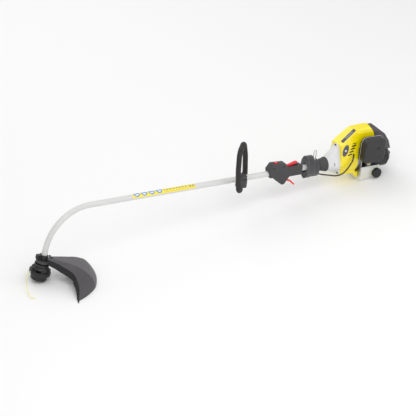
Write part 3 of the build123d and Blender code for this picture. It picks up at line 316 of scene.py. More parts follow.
def wound_strap(start_u, width, centre_v, core, across, tall, turns, lean):
    """Spiral strip: the half width and half height of the turn grow in step with the angle, from
    the core to the outer oval, and the strip leans along the shaft by a slow sine."""
    angle = np.linspace(0, 2 * pi * turns, int(90 * turns))[:, None]
    grown = angle / angle[-1]
    wave = 1 + 0.012 * np.sin(5.3 * angle) * np.sin(2.1 * angle)
    half_width = (core + (across - core) * grown) * wave
    half_height = (core + (tall - core) * grown ** 1.1) * wave
    along = np.linspace(-0.5, 0.5, 13)[None, :]
    y = half_width * np.sin(angle) + 0 * along
    v = centre_v + half_height * np.cos(angle) + 0 * along
    u = start_u + width / 2 + along * width + lean * np.sin(1.7 * angle)
    outside = tool(u, v, y)
    inner = WEBBING / np.maximum(np.hypot(y, v - centre_v), 1)
    inside = tool(u, centre_v + (v - centre_v) * (1 - inner), y * (1 - inner))
    length = np.linalg.norm(np.diff(outside[:, 6], axis=0), axis=1).sum()
    uv = np.stack(np.broadcast_arrays(along + 0.5 + 0 * angle, grown * length / (width * MM)), axis=-1)
    return outside, inside, uv, length


def strap_piece(name, node, **shape):
    """One wound strip on the frame; its webbing length is printed."""
    outside, inside, uv, length = wound_strap(**shape)
    piece = fit(shell_surface(name, outside, inside, uv=uv, sharp=50), "frame", "webbing")
    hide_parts(node)
    print(name, "webbing length", round(float(length), 3))
    return piece


strap_roll = strap_piece("strap_roll_wound", "harness_strap_roll", start_u=-177.5, width=30, centre_v=2,
                         core=17, across=32.5, tall=52, turns=7.5, lean=0.5)
strap_end = strap_piece("strap_end_wound", "harness_strap_end", start_u=-145.5, width=25, centre_v=-8,
                        core=17, across=30.5, tall=41, turns=6.5, lean=0.4)

# %% [markdown]
# ## Shaft label
# A printed film is wrapped over the shaft's upper half, yellow with a row of blue discs. It is a
# strip of a cylinder a little wider than the tube, with a UV map in millimetres, so that the
# print's discs stay round. Its marks are plain shapes that say nothing.

# %% Label film
LABEL_FROM, LABEL_TO = -1033.0, -730.0
LABEL_R, FILM = 12.25, 0.2
LABEL_MIDDLE, LABEL_REACH = radians(90), radians(90)      # centred on the top, half the way round
FILM_ROWS, FILM_COLUMNS = 60, 49


def wrapped_film(radius):
    """Cylinder strip: straight along the shaft, an arc of twice the reach round it."""
    u = np.linspace(LABEL_FROM, LABEL_TO, FILM_ROWS)[:, None]
    angle = LABEL_MIDDLE + np.linspace(LABEL_REACH, -LABEL_REACH, FILM_COLUMNS)[None, :]
    return tool(u, radius * np.sin(angle), radius * np.cos(angle))


film_along = np.linspace(0, LABEL_TO - LABEL_FROM, FILM_ROWS)[:, None]
film_round = np.linspace(-LABEL_REACH, LABEL_REACH, FILM_COLUMNS)[None, :] * LABEL_R
film_uv = np.stack(np.broadcast_arrays(film_along, film_round), axis=-1)
film = shell_surface("shaft_label", wrapped_film(LABEL_R), wrapped_film(LABEL_R - FILM), uv=film_uv)
shaft_label = fit(film, "frame", "yellow_plastic")

# %% [markdown]
# ## Small trims on the engine
# The shroud carries an oval badge, a striped strip and four dark louvres, the filter cover has a pale
# rim bead that is a painted highlight along its rim, and the starter grip has a yellow tip. Each is a low
# dome, a plate or a bead of its own, so that its edge catches the light as a fitted piece does.

# %% Badge, rim, strip, louvres and tip
SHROUD_BASE, SHROUD_CROWN, SHROUD_RISE = 45.0, 30.0, 128.0


def shroud_side(v):
    """Left flank of the shroud: the straight tangent of its two circles, y falling with height."""
    tilt = (SHROUD_BASE - SHROUD_CROWN) / SHROUD_RISE
    return -(SHROUD_BASE / np.sqrt(1 - tilt ** 2) - np.asarray(v) * tilt / np.sqrt(1 - tilt ** 2))


def oval_dome(name, centre_u, centre_v, long_half, short_half, turn, rise, slot):
    """Low dome on the flank: rings of an ellipse whose height is the square root of one less the
    radius to the fourth power. UV is the place inside the ellipse, from -1 to 1."""
    reach = np.linspace(0.02, 1, 14)[:, None]
    angle = np.linspace(0, 2 * pi, 56, endpoint=False)[None, :]
    a, b = long_half * reach * np.cos(angle), short_half * reach * np.sin(angle)
    u = centre_u + a * cos(turn) - b * sin(turn)
    v = centre_v + a * sin(turn) + b * cos(turn)
    height = rise * np.sqrt(np.clip(1 - reach ** 4, 0, 1)) + 0 * angle
    places = tool(u, v, shroud_side(v) - 0.2 - height)
    foot = tool(u[-1], v[-1], shroud_side(v[-1]) + 1.0)[None]
    back = tool(u[0], v[0], shroud_side(v[0]) + 1.0)[None]
    rings = np.concatenate([places, foot, back])
    inner = np.stack([reach * np.cos(angle), reach * np.sin(angle)], axis=-1)
    uv = np.concatenate([inner, inner[-1:], inner[:1]])
    return fit(tube_surface(name, rings, uv=uv), "frame", slot)


badge = oval_dome("shroud_badge", -5, 66, 26, 14.5, radians(72), 1.6, "charcoal_plastic")


def rounded_square(half, corner, count):
    """Outline of a square with round corners: four arcs, joined by the straight sides."""
    arc = np.linspace(0, pi / 2, count)
    parts = []
    for quarter in range(4):
        angle = arc + quarter * pi / 2
        middle = (half - corner) * np.sign([cos(quarter * pi / 2 + pi / 4), sin(quarter * pi / 2 + pi / 4)])
        parts.append(middle + corner * np.column_stack([np.cos(angle), np.sin(angle)]))
    return np.concatenate(parts)


FILTER_U, FILTER_V, FILTER_HALF = 112.0, 68.0, 56.0


def highlight_bead():
    """Pale round bead along the filter cover's foot, a painted highlight on its rim: a small circle carried
    round the outline.
    """
    outline = rounded_square(FILTER_HALF - 0.3, 26, 18)
    out = outline / np.linalg.norm(outline, axis=1)[:, None]
    angle = np.linspace(0, 2 * pi, 12, endpoint=False)
    spread = 1.3 * np.cos(angle)
    u = FILTER_U + outline[:, :1] + out[:, :1] * spread
    v = FILTER_V + outline[:, 1:] + out[:, 1:] * spread
    return tool(u, v, -58.1 + 1.3 * np.sin(angle)[None, :])


# Painted highlight: a pale bead round the filter cover's rim.
filter_highlight = fit(tube_surface("filter_highlight_bead", highlight_bead(), closed_path=True), "frame", "cast_aluminium")


RIDGE_R = 30.0           # roundness of the shroud's ridge under the strip


def slope_strip(name):
    """Thin plate up the shroud's front slope: a straight strip across the ridge, bent to its round,
    with UV along and across it."""
    along = np.linspace(0, 1, 40)[:, None]
    over = np.linspace(-1, 1, 13)[None, :]
    u = -13 + 58 * along + 0 * over
    v = 96.4 + 49.6 * along + 0 * over
    y = -15 + 9.5 * over + 0 * along
    fall = RIDGE_R - np.sqrt(np.clip(RIDGE_R ** 2 - y ** 2, 0, None))
    outside = tool(u - 0.7, v + 0.9 - fall * 0.05, y)
    inside = tool(u + 0.6, v - 1.2 - fall * 0.05, y)
    uv = np.stack(np.broadcast_arrays(along, over), axis=-1)
    return fit(shell_surface(name, outside, inside, uv=uv), "frame", "black_plastic")


def tip_dome():
    """Yellow tip of the starter grip: rings of a flattened half ellipsoid behind the grip."""
    rise = np.linspace(0, pi / 2 * 0.97, 12)[:, None]
    angle = np.linspace(0, 2 * pi, 40, endpoint=False)[None, :]
    u = 250.5 + 5.5 * np.sin(rise) + 0 * angle
    y = 10.0 * np.cos(rise) * np.cos(angle)
    v = 6 + 4.6 * np.cos(rise) * np.sin(angle)
    return tool(u, v, y)


VENT_HALF, VENT_R, VENT_TURN = 11.0, 2.6, radians(12)


def vent_inserts():
    """Four dark louvres set in the flank's slots: flat bars with round ends, each a closed loft of
    its outline over three levels, stacked down the flank and leaning forward."""
    angle = np.linspace(0, 2 * pi, 32, endpoint=False)
    long_way = np.where(np.cos(angle) >= 0, 1, -1) * (VENT_HALF - VENT_R) + VENT_R * np.cos(angle)
    short_way = VENT_R * np.sin(angle)
    points, faces = [], []
    for k in range(4):
        middle_u, middle_v = 36 - 5.6 * k, 83 - 12.5 * k
        u = middle_u + long_way * cos(VENT_TURN) - short_way * sin(VENT_TURN)
        v = middle_v + long_way * sin(VENT_TURN) + short_way * cos(VENT_TURN)
        start = len(points) * len(angle)
        for level in (0.6, -0.25, -0.5):
            points.append(tool(u, v, shroud_side(v) + level))
        faces.extend((grid_quads(3, len(angle), wrap_columns=True) + start).tolist())
        faces.append(list(range(start, start + len(angle))))
        faces.append(list(range(start + 2 * len(angle), start + 3 * len(angle))))
    return mesh_object("shroud_vent_inserts", np.array(points), faces)


vents = fit(vent_inserts(), "frame", "black_plastic")
starter_tip = fit(tube_surface("starter_grip_tip", tip_dome()), "pull", "yellow_plastic")
shroud_strip = slope_strip("shroud_strip")

# %% [markdown]
# ## Guard
# The guard is one moulded shell: a broad top facet with a raised far ridge, a crease that runs from the
# neck to the rim, a lower facet that falls away from the crease, a turned-down lip along the inner edge,
# flared towards its tip, and a skirt round the outside. A ruled grid spans the plan between the inner
# edge and the outer boundary, and a height formula lifts it: simple, and every edge stays where the
# plan says. The head is tilted, so the plan is cut back wherever the shell would go under the floor.

# %% Guard shell
GUARD_R, GUARD_WALL = 239.5, 2.6
FAR_SHARE = 0.36         # part of the boundary that is the straight far edge
RIM_FROM, RIM_TO = radians(-2.2), radians(-79.5)
RIDGE_LIFT, CREASE_FALL = 7, 0.34
inner_edge = np.array([(6, -24), (26, -41), (44, -57), (68, -94), (78, -129), (74, -163), (66, -200),
                       (45, -240)])
DOME_RADIUS = [24, 140, 168, 196, 214, 228, 236, 240]
DOME_DEPTH = [10.5, 13.5, 18.5, 27, 37, 51, 66, 80]
crease_line = np.array([(26, -14), (84, -60), (124, -109), (158, -172), (168, -230)])


def smooth_curve(corners, count):
    """Quadratic B-spline through the middles of the runs between corners, ends kept."""
    ends = np.concatenate([corners[:1], corners, corners[-1:]])
    place = np.linspace(0, len(ends) - 2.0001, count)
    k = place.astype(int)
    f = (place - k)[:, None]
    middle = 0.5 * (ends[1:] + ends[:-1])
    start, stop = middle[k], middle[np.minimum(k + 1, len(middle) - 1)]
    return (1 - f) ** 2 * start + 2 * f * (1 - f) * ends[np.minimum(k + 1, len(ends) - 1)] + f ** 2 * stop


def guard_outline(s):
    """Outer boundary of the plan: along the far edge first, then round the rim as an arc."""
    far = np.clip(s / FAR_SHARE, 0, 1)
    x_far = 27 + (237.5 - 27) * far
    y_far = 5 + 6 * np.sin(pi * far) - 14 * far
    sweep = RIM_FROM + (RIM_TO - RIM_FROM) * np.clip((s - FAR_SHARE) / (1 - FAR_SHARE), 0, 1)
    on_rim = s > FAR_SHARE
    return np.column_stack([np.where(on_rim, GUARD_R * np.cos(sweep), x_far),
                            np.where(on_rim, GUARD_R * np.sin(sweep), y_far)])


def crease_distance(x, y):
    """Signed distance in the plan from the crease line, positive towards the inner edge."""
    best = np.full(x.shape, 1e9)
    signed = np.zeros(x.shape)
    for (x0, y0), (x1, y1) in zip(crease_line, crease_line[1:]):
        run = np.array([x1 - x0, y1 - y0])
        length = np.hypot(*run)
        along = np.clip(((x - x0) * run[0] + (y - y0) * run[1]) / length ** 2, 0, 1)
        off_x, off_y = x - x0 - along * run[0], y - y0 - along * run[1]
        far = np.hypot(off_x, off_y)
        side = np.sign(off_x * run[1] - off_y * run[0])
        nearer = far < best
        best = np.where(nearer, far, best)
        signed = np.where(nearer, far * side, signed)
    return signed


def guard_depth(x, y):
    """Depth of the top below the head's datum: a dome over the distance from the head axis, less a
    bell over the angle that lifts the far ridge 7 mm, plus a fall of one in three on the inner side
    of the crease, rounded over a few millimetres."""
    far = np.hypot(x, y)
    dome = np.interp(far, DOME_RADIUS, DOME_DEPTH)
    ridge = np.exp(-(np.degrees(np.arctan2(y, x)) / 22) ** 2) * np.clip((far - 130) / 65, 0, 1)
    inward = crease_distance(x, y)
    fall = 0.5 * (inward + np.sqrt(inward ** 2 + 9))
    return dome - RIDGE_LIFT * ridge + CREASE_FALL * fall * np.clip((far - 24) / 60, 0, 1)


def floor_depth(x):
    """Depth at which the head's tilt brings a place down to the floor, less half a millimetre."""
    return (HEAD_TOP[2] / MM - 0.5 + HEAD_X[2] * x) / -HEAD_DOWN[2]


def cut_at_floor(edge, border):
    """Border drawn in along each row to where the top comes within 2 mm of the floor: the share of
    the row that is kept is halved in on, 24 times, from both sides."""
    low, high = np.zeros((len(edge), 1)), np.ones((len(edge), 1))
    share = high
    for _ in range(24):
        place = edge * (1 - share) + border * share
        room = (floor_depth(place[:, 0]) - 2 - guard_depth(place[:, 0], place[:, 1]))[:, None]
        low, high = np.where(room > 0, share, low), np.where(room > 0, high, share)
        share = (low + high) / 2
    return edge * (1 - np.maximum(share, 0.1)) + border * np.maximum(share, 0.1)


def guard_grid():
    """Columns run up the lip, across the plan and down the skirt; rows run from neck to tip."""
    count = 150
    s = np.linspace(0, 1, count)
    edge = smooth_curve(inner_edge, count)
    border = cut_at_floor(edge, guard_outline(s))
    w = np.linspace(0, 1, 60)[None, :, None] ** 0.9
    plan = edge[:, None, :] * (1 - w) + border[:, None, :] * w
    x, y = plan[..., 0], plan[..., 1]
    top = np.minimum(guard_depth(x, y), floor_depth(x) - 1.5)
    lip = np.interp(s, [0, 0.1, 0.5, 0.56, 0.6, 0.64, 0.85, 1], [10, 24, 29, 27, 9, 20, 17, 6])[:, None]
    up_lip = np.linspace(1, 0.08, 7)[None, :]
    lip_depth = top[:, :1] + np.clip(floor_depth(x[:, :1]) - 0.3 - top[:, :1], 1, lip) * up_lip
    skirt = np.interp(s, [0, 0.3, 0.42, 0.9, 1], [6, 10, 30, 32, 6])[:, None]
    down_skirt = np.linspace(0.1, 1, 7)[None, :]
    skirt_depth = top[:, -1:] + np.clip(floor_depth(x[:, -1:]) - 0.3 - top[:, -1:], 1, skirt) * down_skirt
    flare = np.interp(s, [0.58, 0.63, 0.8, 1], [0, 12, 9, 0])[:, None]
    x = np.concatenate([x[:, :1] - flare * up_lip, x, np.repeat(x[:, -1:], 7, axis=1)], axis=1)
    y = np.concatenate([np.repeat(y[:, :1], 7, axis=1), y, np.repeat(y[:, -1:], 7, axis=1)], axis=1)
    depth = np.concatenate([lip_depth, top, skirt_depth], axis=1)
    across = np.concatenate([-up_lip[0], np.linspace(0, 1, 60), 1 + down_skirt[0]])
    uv = np.stack(np.broadcast_arrays(crease_distance(x, y) / 100, across[None, :]), axis=-1)
    return head(depth, x, y), uv


def inner_wall(outside, wall):
    """The outside moved inwards along its own normals, which are crosses of the grid's two runs."""
    down_rows, down_columns = np.gradient(outside, axis=0), np.gradient(outside, axis=1)
    normal = np.cross(down_rows, down_columns)
    normal /= np.maximum(np.linalg.norm(normal, axis=-1, keepdims=True), 1e-12)
    facing = np.sign((normal @ -HEAD_DOWN).mean())
    return outside - facing * normal * wall * MM


guard_outside, guard_uv = guard_grid()
guard_inside = inner_wall(guard_outside, GUARD_WALL)
guard_inside[..., 2] = np.maximum(guard_inside[..., 2], 0.0005)
guard_shell = fit(shell_surface("guard_shell", guard_outside, guard_inside, uv=guard_uv, sharp=40),
                  "frame", "charcoal_plastic")
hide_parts("guard")

# %% [markdown]
# ## Shader sums
# A finish is a small graph of nodes. Written as nodes it is hard to read, so one class wraps an
# output socket and turns sums and products into Math nodes, and another makes any other node from
# its type, its settings and the values or links of its inputs.

# %% Values and graphs
class Value:
    """One output socket: its sums, products and comparisons add Math nodes to the graph."""

    def __init__(self, graph, socket):
        self.graph = graph
        self.socket = socket

    def math(self, operation, other=0.0, flipped=False):
        pair = {0: other, 1: self} if flipped else {0: self, 1: other}
        return self.graph.node("ShaderNodeMath", {"operation": operation}, pair)

    def __add__(self, other):
        return self.math("ADD", other)

    def __radd__(self, other):
        return self.math("ADD", other, flipped=True)

    def __sub__(self, other):
        return self.math("SUBTRACT", other)

    def __rsub__(self, other):
        return self.math("SUBTRACT", other, flipped=True)

    def __mul__(self, other):
        return self.math("MULTIPLY", other)

    def __rmul__(self, other):
        return self.math("MULTIPLY", other, flipped=True)

    def __lt__(self, other):
        return self.math("LESS_THAN", other)

    def __gt__(self, other):
        return self.math("GREATER_THAN", other)


class Finish:
    """A material under construction, with its Principled shader as the last node."""

    def __init__(self, name, **constants):
        self.material = bpy.data.materials.new(name)
        self.material.use_nodes = True
        self.tree = self.material.node_tree
        self.shader = self.tree.nodes["Principled BSDF"]
        for socket, value in constants.items():
            self.shader.inputs[socket.replace("_", " ")].default_value = value

    def node(self, kind, settings=None, inputs=None, output=0):
        """Any node: settings first (a ramp's stops among them), then its inputs."""
        made = self.tree.nodes.new(kind)
        for key, value in (settings or {}).items():
            if key == "stops":
                ramp = made.color_ramp.elements
                while len(ramp) < len(value):
                    ramp.new(1.0)
                for element, (place, colour) in zip(ramp, value):
                    element.position = place
                    element.color = (*colour, 1)
            else:
                setattr(made, key, value)
        for key, value in (inputs or {}).items():
            if isinstance(value, Value):
                self.tree.links.new(value.socket, made.inputs[key])
            else:
                made.inputs[key].default_value = value
        return Value(self, made.outputs[output])

    def place(self):
        """Object coordinates, in metres in the tool's own frame."""
        return self.node("ShaderNodeTexCoord", output="Object")

    def spread(self):
        """The piece's own UV map as two separate numbers."""
        uv = self.node("ShaderNodeUVMap", {"uv_map": "UVMap"})
        first = self.node("ShaderNodeSeparateXYZ", inputs={0: uv})
        second = Value(self, first.socket.node.outputs[1])
        return first, second

    def noise(self, scale, detail=3.0, roughness=0.5, vector=None):
        """Cloudy value from 0 to 1, in the given number of cells a metre."""
        return self.node("ShaderNodeTexNoise", inputs={"Vector": vector or self.place(), "Scale": scale,
                                                       "Detail": detail, "Roughness": roughness})

    def cells(self, scale, vector=None):
        """Distance to the nearest of scattered points."""
        return self.node("ShaderNodeTexVoronoi", inputs={"Vector": vector or self.place(), "Scale": scale})

    def ramp(self, value, *stops):
        """Colour or grey from a value, through stops."""
        return self.node("ShaderNodeValToRGB", {"stops": stops}, {0: value})

    def blend(self, factor, first, second):
        """Colour between two colours, which are links or plain triples."""
        triple = {key: value if isinstance(value, Value) else (*value, 1)
                  for key, value in ((6, first), (7, second))}
        return self.node("ShaderNodeMix", {"data_type": "RGBA"}, {0: factor, **triple}, output=2)

    def bump(self, height, distance, strength=1.0, under=None):
        """Surface relief of a height from 0 to 1 over a distance in metres."""
        inputs = {"Height": height, "Distance": distance, "Strength": strength}
        if under is not None:
            inputs["Normal"] = under
        return self.node("ShaderNodeBump", inputs=inputs)

    def feed(self, **links):
        """Link values to the shader's own sockets."""
        for socket, value in links.items():
            self.tree.links.new(value.socket, self.shader.inputs[socket.replace("_", " ")])
        return self.material


# %% [markdown]
# ## Moulded plastics
# Moulded parts have a spark-eroded grain, a colour that drifts a little, and dull patches where hands
# and grass rub. One recipe makes them all: two noises for drift and dullness, and fine cells for grain.

# %% Plastic recipe
def moulded(name, colour, drift, dull, grain, depth, **constants):
    """Plastic: colour drifts towards a second one, roughness lies between two, cells give grain."""
    finish = Finish(name, **constants)
    cloud = finish.noise(18.0, detail=4.0)
    rub = finish.noise(90.0, detail=5.0, roughness=0.65)
    speck = finish.cells(grain)
    tone = finish.blend(cloud, colour, drift)
    tone = finish.blend((rub > 0.68) * 0.35, tone, drift)
    low, high = dull
    rough = low + (high - low) * cloud + (rub - 0.5) * 0.12
    return finish.feed(Base_Color=tone, Roughness=rough, Normal=finish.bump(speck + rub * 0.5, depth))


finishes = {
    "charcoal_plastic": moulded("charcoal_plastic", (0.036, 0.035, 0.038), (0.058, 0.056, 0.060),
                                (0.42, 0.58), 900.0, 0.00012),
    "black_plastic": moulded("black_plastic", (0.006, 0.006, 0.007), (0.014, 0.013, 0.015),
                             (0.32, 0.5), 1100.0, 0.00008),
    "red_plastic": moulded("red_plastic", (0.88, 0.022, 0.034), (0.74, 0.014, 0.024),
                           (0.25, 0.38), 1400.0, 0.00003, Coat_Weight=0.25),
    "yellow_plastic": moulded("yellow_plastic", (0.96, 0.80, 0.0), (0.93, 0.74, 0.0),
                              (0.16, 0.26), 260.0, 0.00003, Coat_Weight=0.5, Coat_Roughness=0.08),
    "white_plastic": moulded("white_plastic", (0.78, 0.78, 0.78), (0.68, 0.68, 0.69),
                             (0.3, 0.42), 700.0, 0.00005),
    "loop_rubber": moulded("loop_rubber", (0.010, 0.008, 0.008), (0.020, 0.016, 0.015),
                           (0.5, 0.68), 1300.0, 0.00012),
    "boot_rubber": moulded("boot_rubber", (0.038, 0.038, 0.040), (0.062, 0.062, 0.065),
                           (0.55, 0.7), 1000.0, 0.0001),
    "primer_rubber": moulded("primer_rubber", (0.72, 0.66, 0.40), (0.62, 0.56, 0.32),
                             (0.2, 0.35), 800.0, 0.00003, Transmission_Weight=0.3),
    "cover_plastic": moulded("cover_plastic", (0.016, 0.015, 0.016), (0.028, 0.027, 0.029),
                             (0.3, 0.42), 1000.0, 0.00008),
    "muffler_plastic": moulded("muffler_plastic", (0.060, 0.054, 0.060), (0.085, 0.078, 0.085),
                               (0.4, 0.52), 800.0, 0.0001),
}


def guard_plastic():
    """Guard: the top facet is painted lighter than the facet below the crease, as painted light and shade,
    the lip is painted near-black as painted shade, and the crease is a painted dark line of shade. UV holds
    the distance from the crease and the place across."""
    finish = Finish("guard_plastic")
    beyond, across = finish.spread()
    cloud = finish.noise(16.0, detail=4.0)
    speck = finish.cells(800.0)
    # Painted light and shade: the top facet is lighter and the facet below the crease is darker.
    facet_lit_and_shaded = finish.ramp(beyond * 8 + 0.5, (0.40, (0.098, 0.092, 0.099)), (0.5, (0.050, 0.047, 0.052)),
                        (0.6, (0.060, 0.056, 0.062)))
    tone = finish.blend(cloud * 0.3, facet_lit_and_shaded, (0.070, 0.066, 0.072))
    # Painted shade: a dark line along the crease.
    crease_shade = (beyond.math("ABSOLUTE") < 0.02) * (across > 0.0)
    tone = finish.blend(crease_shade * 0.6, tone, (0.022, 0.020, 0.023))
    # Painted shade: the turned-down lip is made near-black.
    tone = finish.blend((across < 0.0) * 0.96, tone, (0.006, 0.005, 0.007))
    return finish.feed(Base_Color=tone, Roughness=0.46 + 0.14 * cloud, Normal=finish.bump(speck, 0.00012))


finishes["guard_plastic"] = guard_plastic()
print(len(finishes), "plastics and rubbers")

# %% [markdown]
# ## Metals
# Castings are blasted, so they are rough all over with small pits. Turned and ground steel has fine
# lines round the shaft, which a noise squeezed along one direction gives. The shaft itself is painted:
# a smooth coat with a faint orange peel.

# %% Metal recipe
def lined(finish, along, across):
    """Object coordinates squeezed, so that a noise becomes fine lines."""
    scale = (along, across, across)
    return finish.node("ShaderNodeMapping", inputs={"Vector": finish.place(), "Scale": scale})


def metal(name, colour, stain, rough, pit, along, **constants):
    """Metal: a stain drifts over the colour, lines or pits lift the surface."""
    finish = Finish(name, Metallic=1.0, **constants)
    cloud = finish.noise(35.0, detail=5.0, roughness=0.6)
    lines = finish.noise(1.0, detail=2.0, vector=lined(finish, along, 900.0))
    tone = finish.blend(cloud * 0.8, colour, stain)
    return finish.feed(Base_Color=tone, Roughness=rough + 0.18 * (lines - 0.5) + 0.12 * cloud,
                       Normal=finish.bump(lines, pit))


def painted_shaft():
    """Light grey paint: faint orange peel, and a greyer film of dust in a slow cloud."""
    finish = Finish("tube_paint", Coat_Weight=0.2)
    dust = finish.noise(9.0, detail=5.0, roughness=0.6)
    peel = finish.noise(700.0, detail=1.0)
    return finish.feed(Base_Color=finish.blend(dust * 0.7, (0.70, 0.70, 0.69), (0.60, 0.60, 0.59)),
                       Roughness=0.30 + 0.12 * dust, Normal=finish.bump(peel, 0.00002))


METALS = (("cast_aluminium", (0.62, 0.62, 0.63), (0.46, 0.46, 0.47), 0.42, 0.00006, 900.0),
          ("steel", (0.58, 0.58, 0.60), (0.44, 0.43, 0.43), 0.26, 0.00002, 60.0),
          ("dark_steel", (0.05, 0.05, 0.055), (0.09, 0.085, 0.08), 0.38, 0.00003, 400.0))
for recipe in METALS:
    finishes[recipe[0]] = metal(*recipe)
finishes["tube_paint"] = painted_shaft()
print("metals added, now", len(finishes))

# %% [markdown]
# ## Cloth, foam, nylon and the tank
# Webbing is woven in chevrons with a ridge along each edge: its pattern follows the strip, so it reads
# the UV map. The milky tank lets the fuel show as a warmer tint below a level line.

# %% Soft and clear finishes
def woven_webbing():
    """Webbing: chevron ribs are a triangle wave of the place across, pushed along the strip; warp
    threads are a fine sine across. Edges are darker, and dust drifts over."""
    finish = Finish("webbing", Sheen_Weight=0.35, Sheen_Roughness=0.5)
    across, along = finish.spread()
    chevron = (across * 4.0).math("PINGPONG", 0.5)
    weft = ((along * 14.0 + chevron * 1.6) * (2 * pi)).math("SINE")
    warp = (across * (2 * pi * 22)).math("SINE")
    thread = weft * 0.35 + warp * 0.2 + 0.5
    edge = (across - 0.5).math("ABSOLUTE") > 0.44
    dust = finish.noise(40.0, detail=4.0)
    tone = finish.blend(thread * 0.6 + dust * 0.3, (0.020, 0.020, 0.023), (0.075, 0.075, 0.082))
    tone = finish.blend(edge * 0.6, tone, (0.13, 0.13, 0.14))
    return finish.feed(Base_Color=tone, Roughness=0.72 + 0.15 * dust, Normal=finish.bump(thread, 0.0004))


def nylon_line():
    """Nylon: pale yellow with a faint milky cloud and drawing lines."""
    finish = Finish("line_nylon", Subsurface_Weight=0.15, Subsurface_Scale=0.002)
    milk = finish.noise(120.0, detail=2.0)
    return finish.feed(Base_Color=finish.blend(milk, (0.92, 0.82, 0.06), (0.86, 0.76, 0.14)),
                       Roughness=0.25 + 0.1 * milk, Normal=finish.bump(finish.noise(900.0), 0.00002))


def milky_tank():
    """Blown plastic: milky white, warmer below the fuel level, with a soft ripple."""
    finish = Finish("tank_plastic", Subsurface_Weight=0.2, Subsurface_Scale=0.006)
    height = finish.node("ShaderNodeSeparateXYZ", inputs={0: finish.place()}, output=2)
    ripple = finish.noise(30.0, detail=3.0)
    fuel = ((0.040 - height) * 120.0 + (ripple - 0.5) * 0.6).math("MINIMUM", 1.0).math("MAXIMUM", 0.0)
    tone = finish.blend(fuel * 0.7, (0.80, 0.80, 0.76), (0.74, 0.72, 0.60))
    tone = finish.blend(finish.noise(14.0) * 0.25, tone, (0.66, 0.66, 0.62))
    return finish.feed(Base_Color=tone, Roughness=0.34 + 0.15 * ripple, Normal=finish.bump(ripple, 0.0003))


def open_foam():
    """Foam: dark pits between pale cell walls."""
    finish = Finish("filter_foam")
    pore = finish.cells(600.0)
    return finish.feed(Base_Color=finish.blend(pore, (0.02, 0.02, 0.018), (0.12, 0.12, 0.10)),
                       Roughness=0.85 + 0.1 * pore, Normal=finish.bump(pore, 0.001))


finishes["webbing"] = woven_webbing()
finishes["line_nylon"] = nylon_line()
finishes["tank_plastic"] = milky_tank()
finishes["filter_foam"] = open_foam()
print("finishes", sorted(finishes))

# %% [markdown]
# ## Printed marks
# Prints have sharp edges, so each mark is a comparison: a disc is where the distance to its middle is
# less than its radius. The discs repeat along the film, so one formula on the remainder of the
# distance makes the row.

# %% Label print
def label_print():
    """Yellow film over the shaft's upper half: four blue discs with a pale lower part, then a row of
    grey dashes, a row of dots and two blocks at the end."""
    finish = Finish("label_print", Coat_Weight=0.3, Coat_Roughness=0.15)
    along, round_it = finish.spread()
    step, first, row_end, block_from = 36.0, 3.0, 147.0, 276
    local = (along - first).math("MODULO", step) - step / 2
    disc = (local * local + round_it * round_it).math("SQRT")
    in_row = (along < row_end) * (along > first)
    blue = (disc < 14.5) * in_row
    pale = (disc < 10.5) * (round_it < -2.5) * in_row
    dashes = ((along * 0.42).math("SINE") > -0.25) * (round_it > -7.0) * (round_it < -1.5)
    dots = ((along * 1.1).math("SINE") > 0.35) * (round_it > -14.0) * (round_it < -11.5)
    marks = (dashes + dots) * (along > row_end + 5) * (along < 272)
    blocks = ((along - block_from).math("MODULO", 13.0) < 7.0) * (along > block_from)
    blocks = blocks * (round_it > -12.0) * (round_it < -1.0)
    fade = finish.noise(60.0, detail=4.0)
    film = finish.blend(fade * 0.4, (0.93, 0.78, 0.05), (0.86, 0.70, 0.06))
    film = finish.blend((marks + blocks).math("MINIMUM", 1.0) * 0.8, film, (0.14, 0.14, 0.26))
    film = finish.blend(blue, film, (0.02, 0.19, 0.62))
    film = finish.blend(pale, film, (0.80, 0.84, 0.86))
    return finish.feed(Base_Color=film, Roughness=0.3 + 0.15 * fade, Normal=finish.bump(fade, 0.00002))


def badge_print():
    """Dark oval with a pale rim line and a pale dot in its middle."""
    finish = Finish("badge_print", Coat_Weight=0.3)
    a, b = finish.spread()
    far = (a * a + b * b).math("SQRT")
    dot_far = (a * a * 5.4 + b * b).math("SQRT")
    rim = (far > 0.86) * (far < 0.94)
    cloud = finish.noise(200.0, detail=3.0)
    tone = finish.blend(cloud, (0.060, 0.058, 0.068), (0.085, 0.082, 0.094))
    tone = finish.blend(rim * 0.6, tone, (0.30, 0.30, 0.33))
    tone = finish.blend(dot_far < 0.36, tone, (0.75, 0.75, 0.76))
    return finish.feed(Base_Color=tone, Roughness=0.28 + 0.1 * cloud, Normal=finish.bump(cloud, 0.00003))


def strip_print():
    """Black strip with slanting pale bars between two plain ends."""
    finish = Finish("strip_print", Coat_Weight=0.3)
    along, over = finish.spread()
    bars = ((along * 60.0 + over * 1.5).math("SINE") > 0.1) * (over.math("ABSOLUTE") < 0.62)
    bars = bars * (along > 0.28) * (along < 0.84)
    cloud = finish.noise(150.0, detail=3.0)
    tone = finish.blend(cloud, (0.022, 0.022, 0.024), (0.035, 0.035, 0.038))
    tone = finish.blend(bars * 0.75, tone, (0.42, 0.43, 0.46))
    return finish.feed(Base_Color=tone, Roughness=0.3 + 0.1 * cloud, Normal=finish.bump(cloud, 0.00003))


prints = {"shaft_label": label_print(), "shroud_badge": badge_print(), "shroud_strip": strip_print()}
print("prints", sorted(prints))
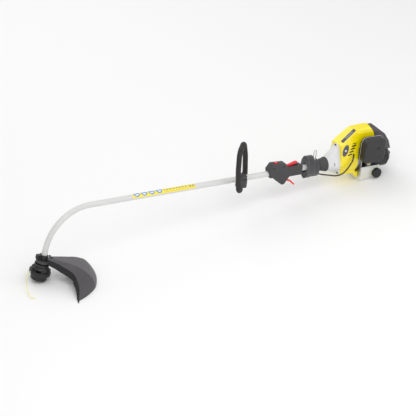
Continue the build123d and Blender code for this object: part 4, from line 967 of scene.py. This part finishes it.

# %% [markdown]
# ## Every piece gets its finish
# The record names a material slot for each CAD node, and each new piece names one too. A piece with a
# print, a shade of its own or painted shade takes that in place of its slot's finish: the wound line takes
# near-black plastic as painted shade inside the spool, and the guard takes painted light and shade.

# %% Paint the pieces
# Painted shade: the wound line inside the spool is made near-black, standing for the shade there.
OWN_FINISH = {"dust_cup": "dark_steel", "line_cutter_blade": "dark_steel", "wound_line": "black_plastic",
              "air_filter_cover": "cover_plastic", "muffler_cover": "muffler_plastic",
              "guard_shell": "guard_plastic"}


def paint(piece, material):
    """One material in every slot of a piece."""
    piece.data.materials.clear()
    piece.data.materials.append(material)


slot_of = {entry["node"]: entry["material_slot"] for entry in frame["record"]["subparts"]}
for node, piece in frame["nodes"].items():
    paint(piece, finishes[OWN_FINISH.get(node, slot_of[node])])
new_pieces = [trimmer_line_end, loop_grip_ribbed, strap_roll, strap_end, shaft_label, badge, filter_highlight,
              starter_tip, vents, shroud_strip, guard_shell]
for piece in new_pieces:
    paint(piece, prints.get(piece.name, finishes[OWN_FINISH.get(piece.name, piece["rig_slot"])]))
print(len(frame["nodes"]), "CAD nodes and", len(new_pieces), "new pieces painted")

# %% [markdown]
# ## Floor
# The floor is one wide sheet of pale card. It is part of the stage and not of the tool.

# %% Studio floor
def card_floor():
    """Matt white card with a faint tooth."""
    finish = Finish("studio_card")
    tooth = finish.noise(300.0, detail=2.0)
    return finish.feed(Base_Color=finish.blend(tooth * 0.2, (0.92, 0.92, 0.92), (0.90, 0.90, 0.90)),
                       Roughness=0.9 + 0.05 * tooth, Normal=finish.bump(tooth, 0.00001))


FLOOR_HALF = 30.0
floor_mesh = bpy.data.meshes.new("studio_floor")
floor_mesh.from_pydata([(-FLOOR_HALF, -FLOOR_HALF, 0), (FLOOR_HALF, -FLOOR_HALF, 0),
                        (FLOOR_HALF, FLOOR_HALF, 0), (-FLOOR_HALF, FLOOR_HALF, 0)], [], [(0, 1, 2, 3)])
floor_mesh.materials.append(card_floor())
studio_floor = bpy.data.objects.new("studio_floor", floor_mesh)
bpy.context.scene.collection.objects.link(studio_floor)
print("floor", 2 * FLOOR_HALF, "m wide")
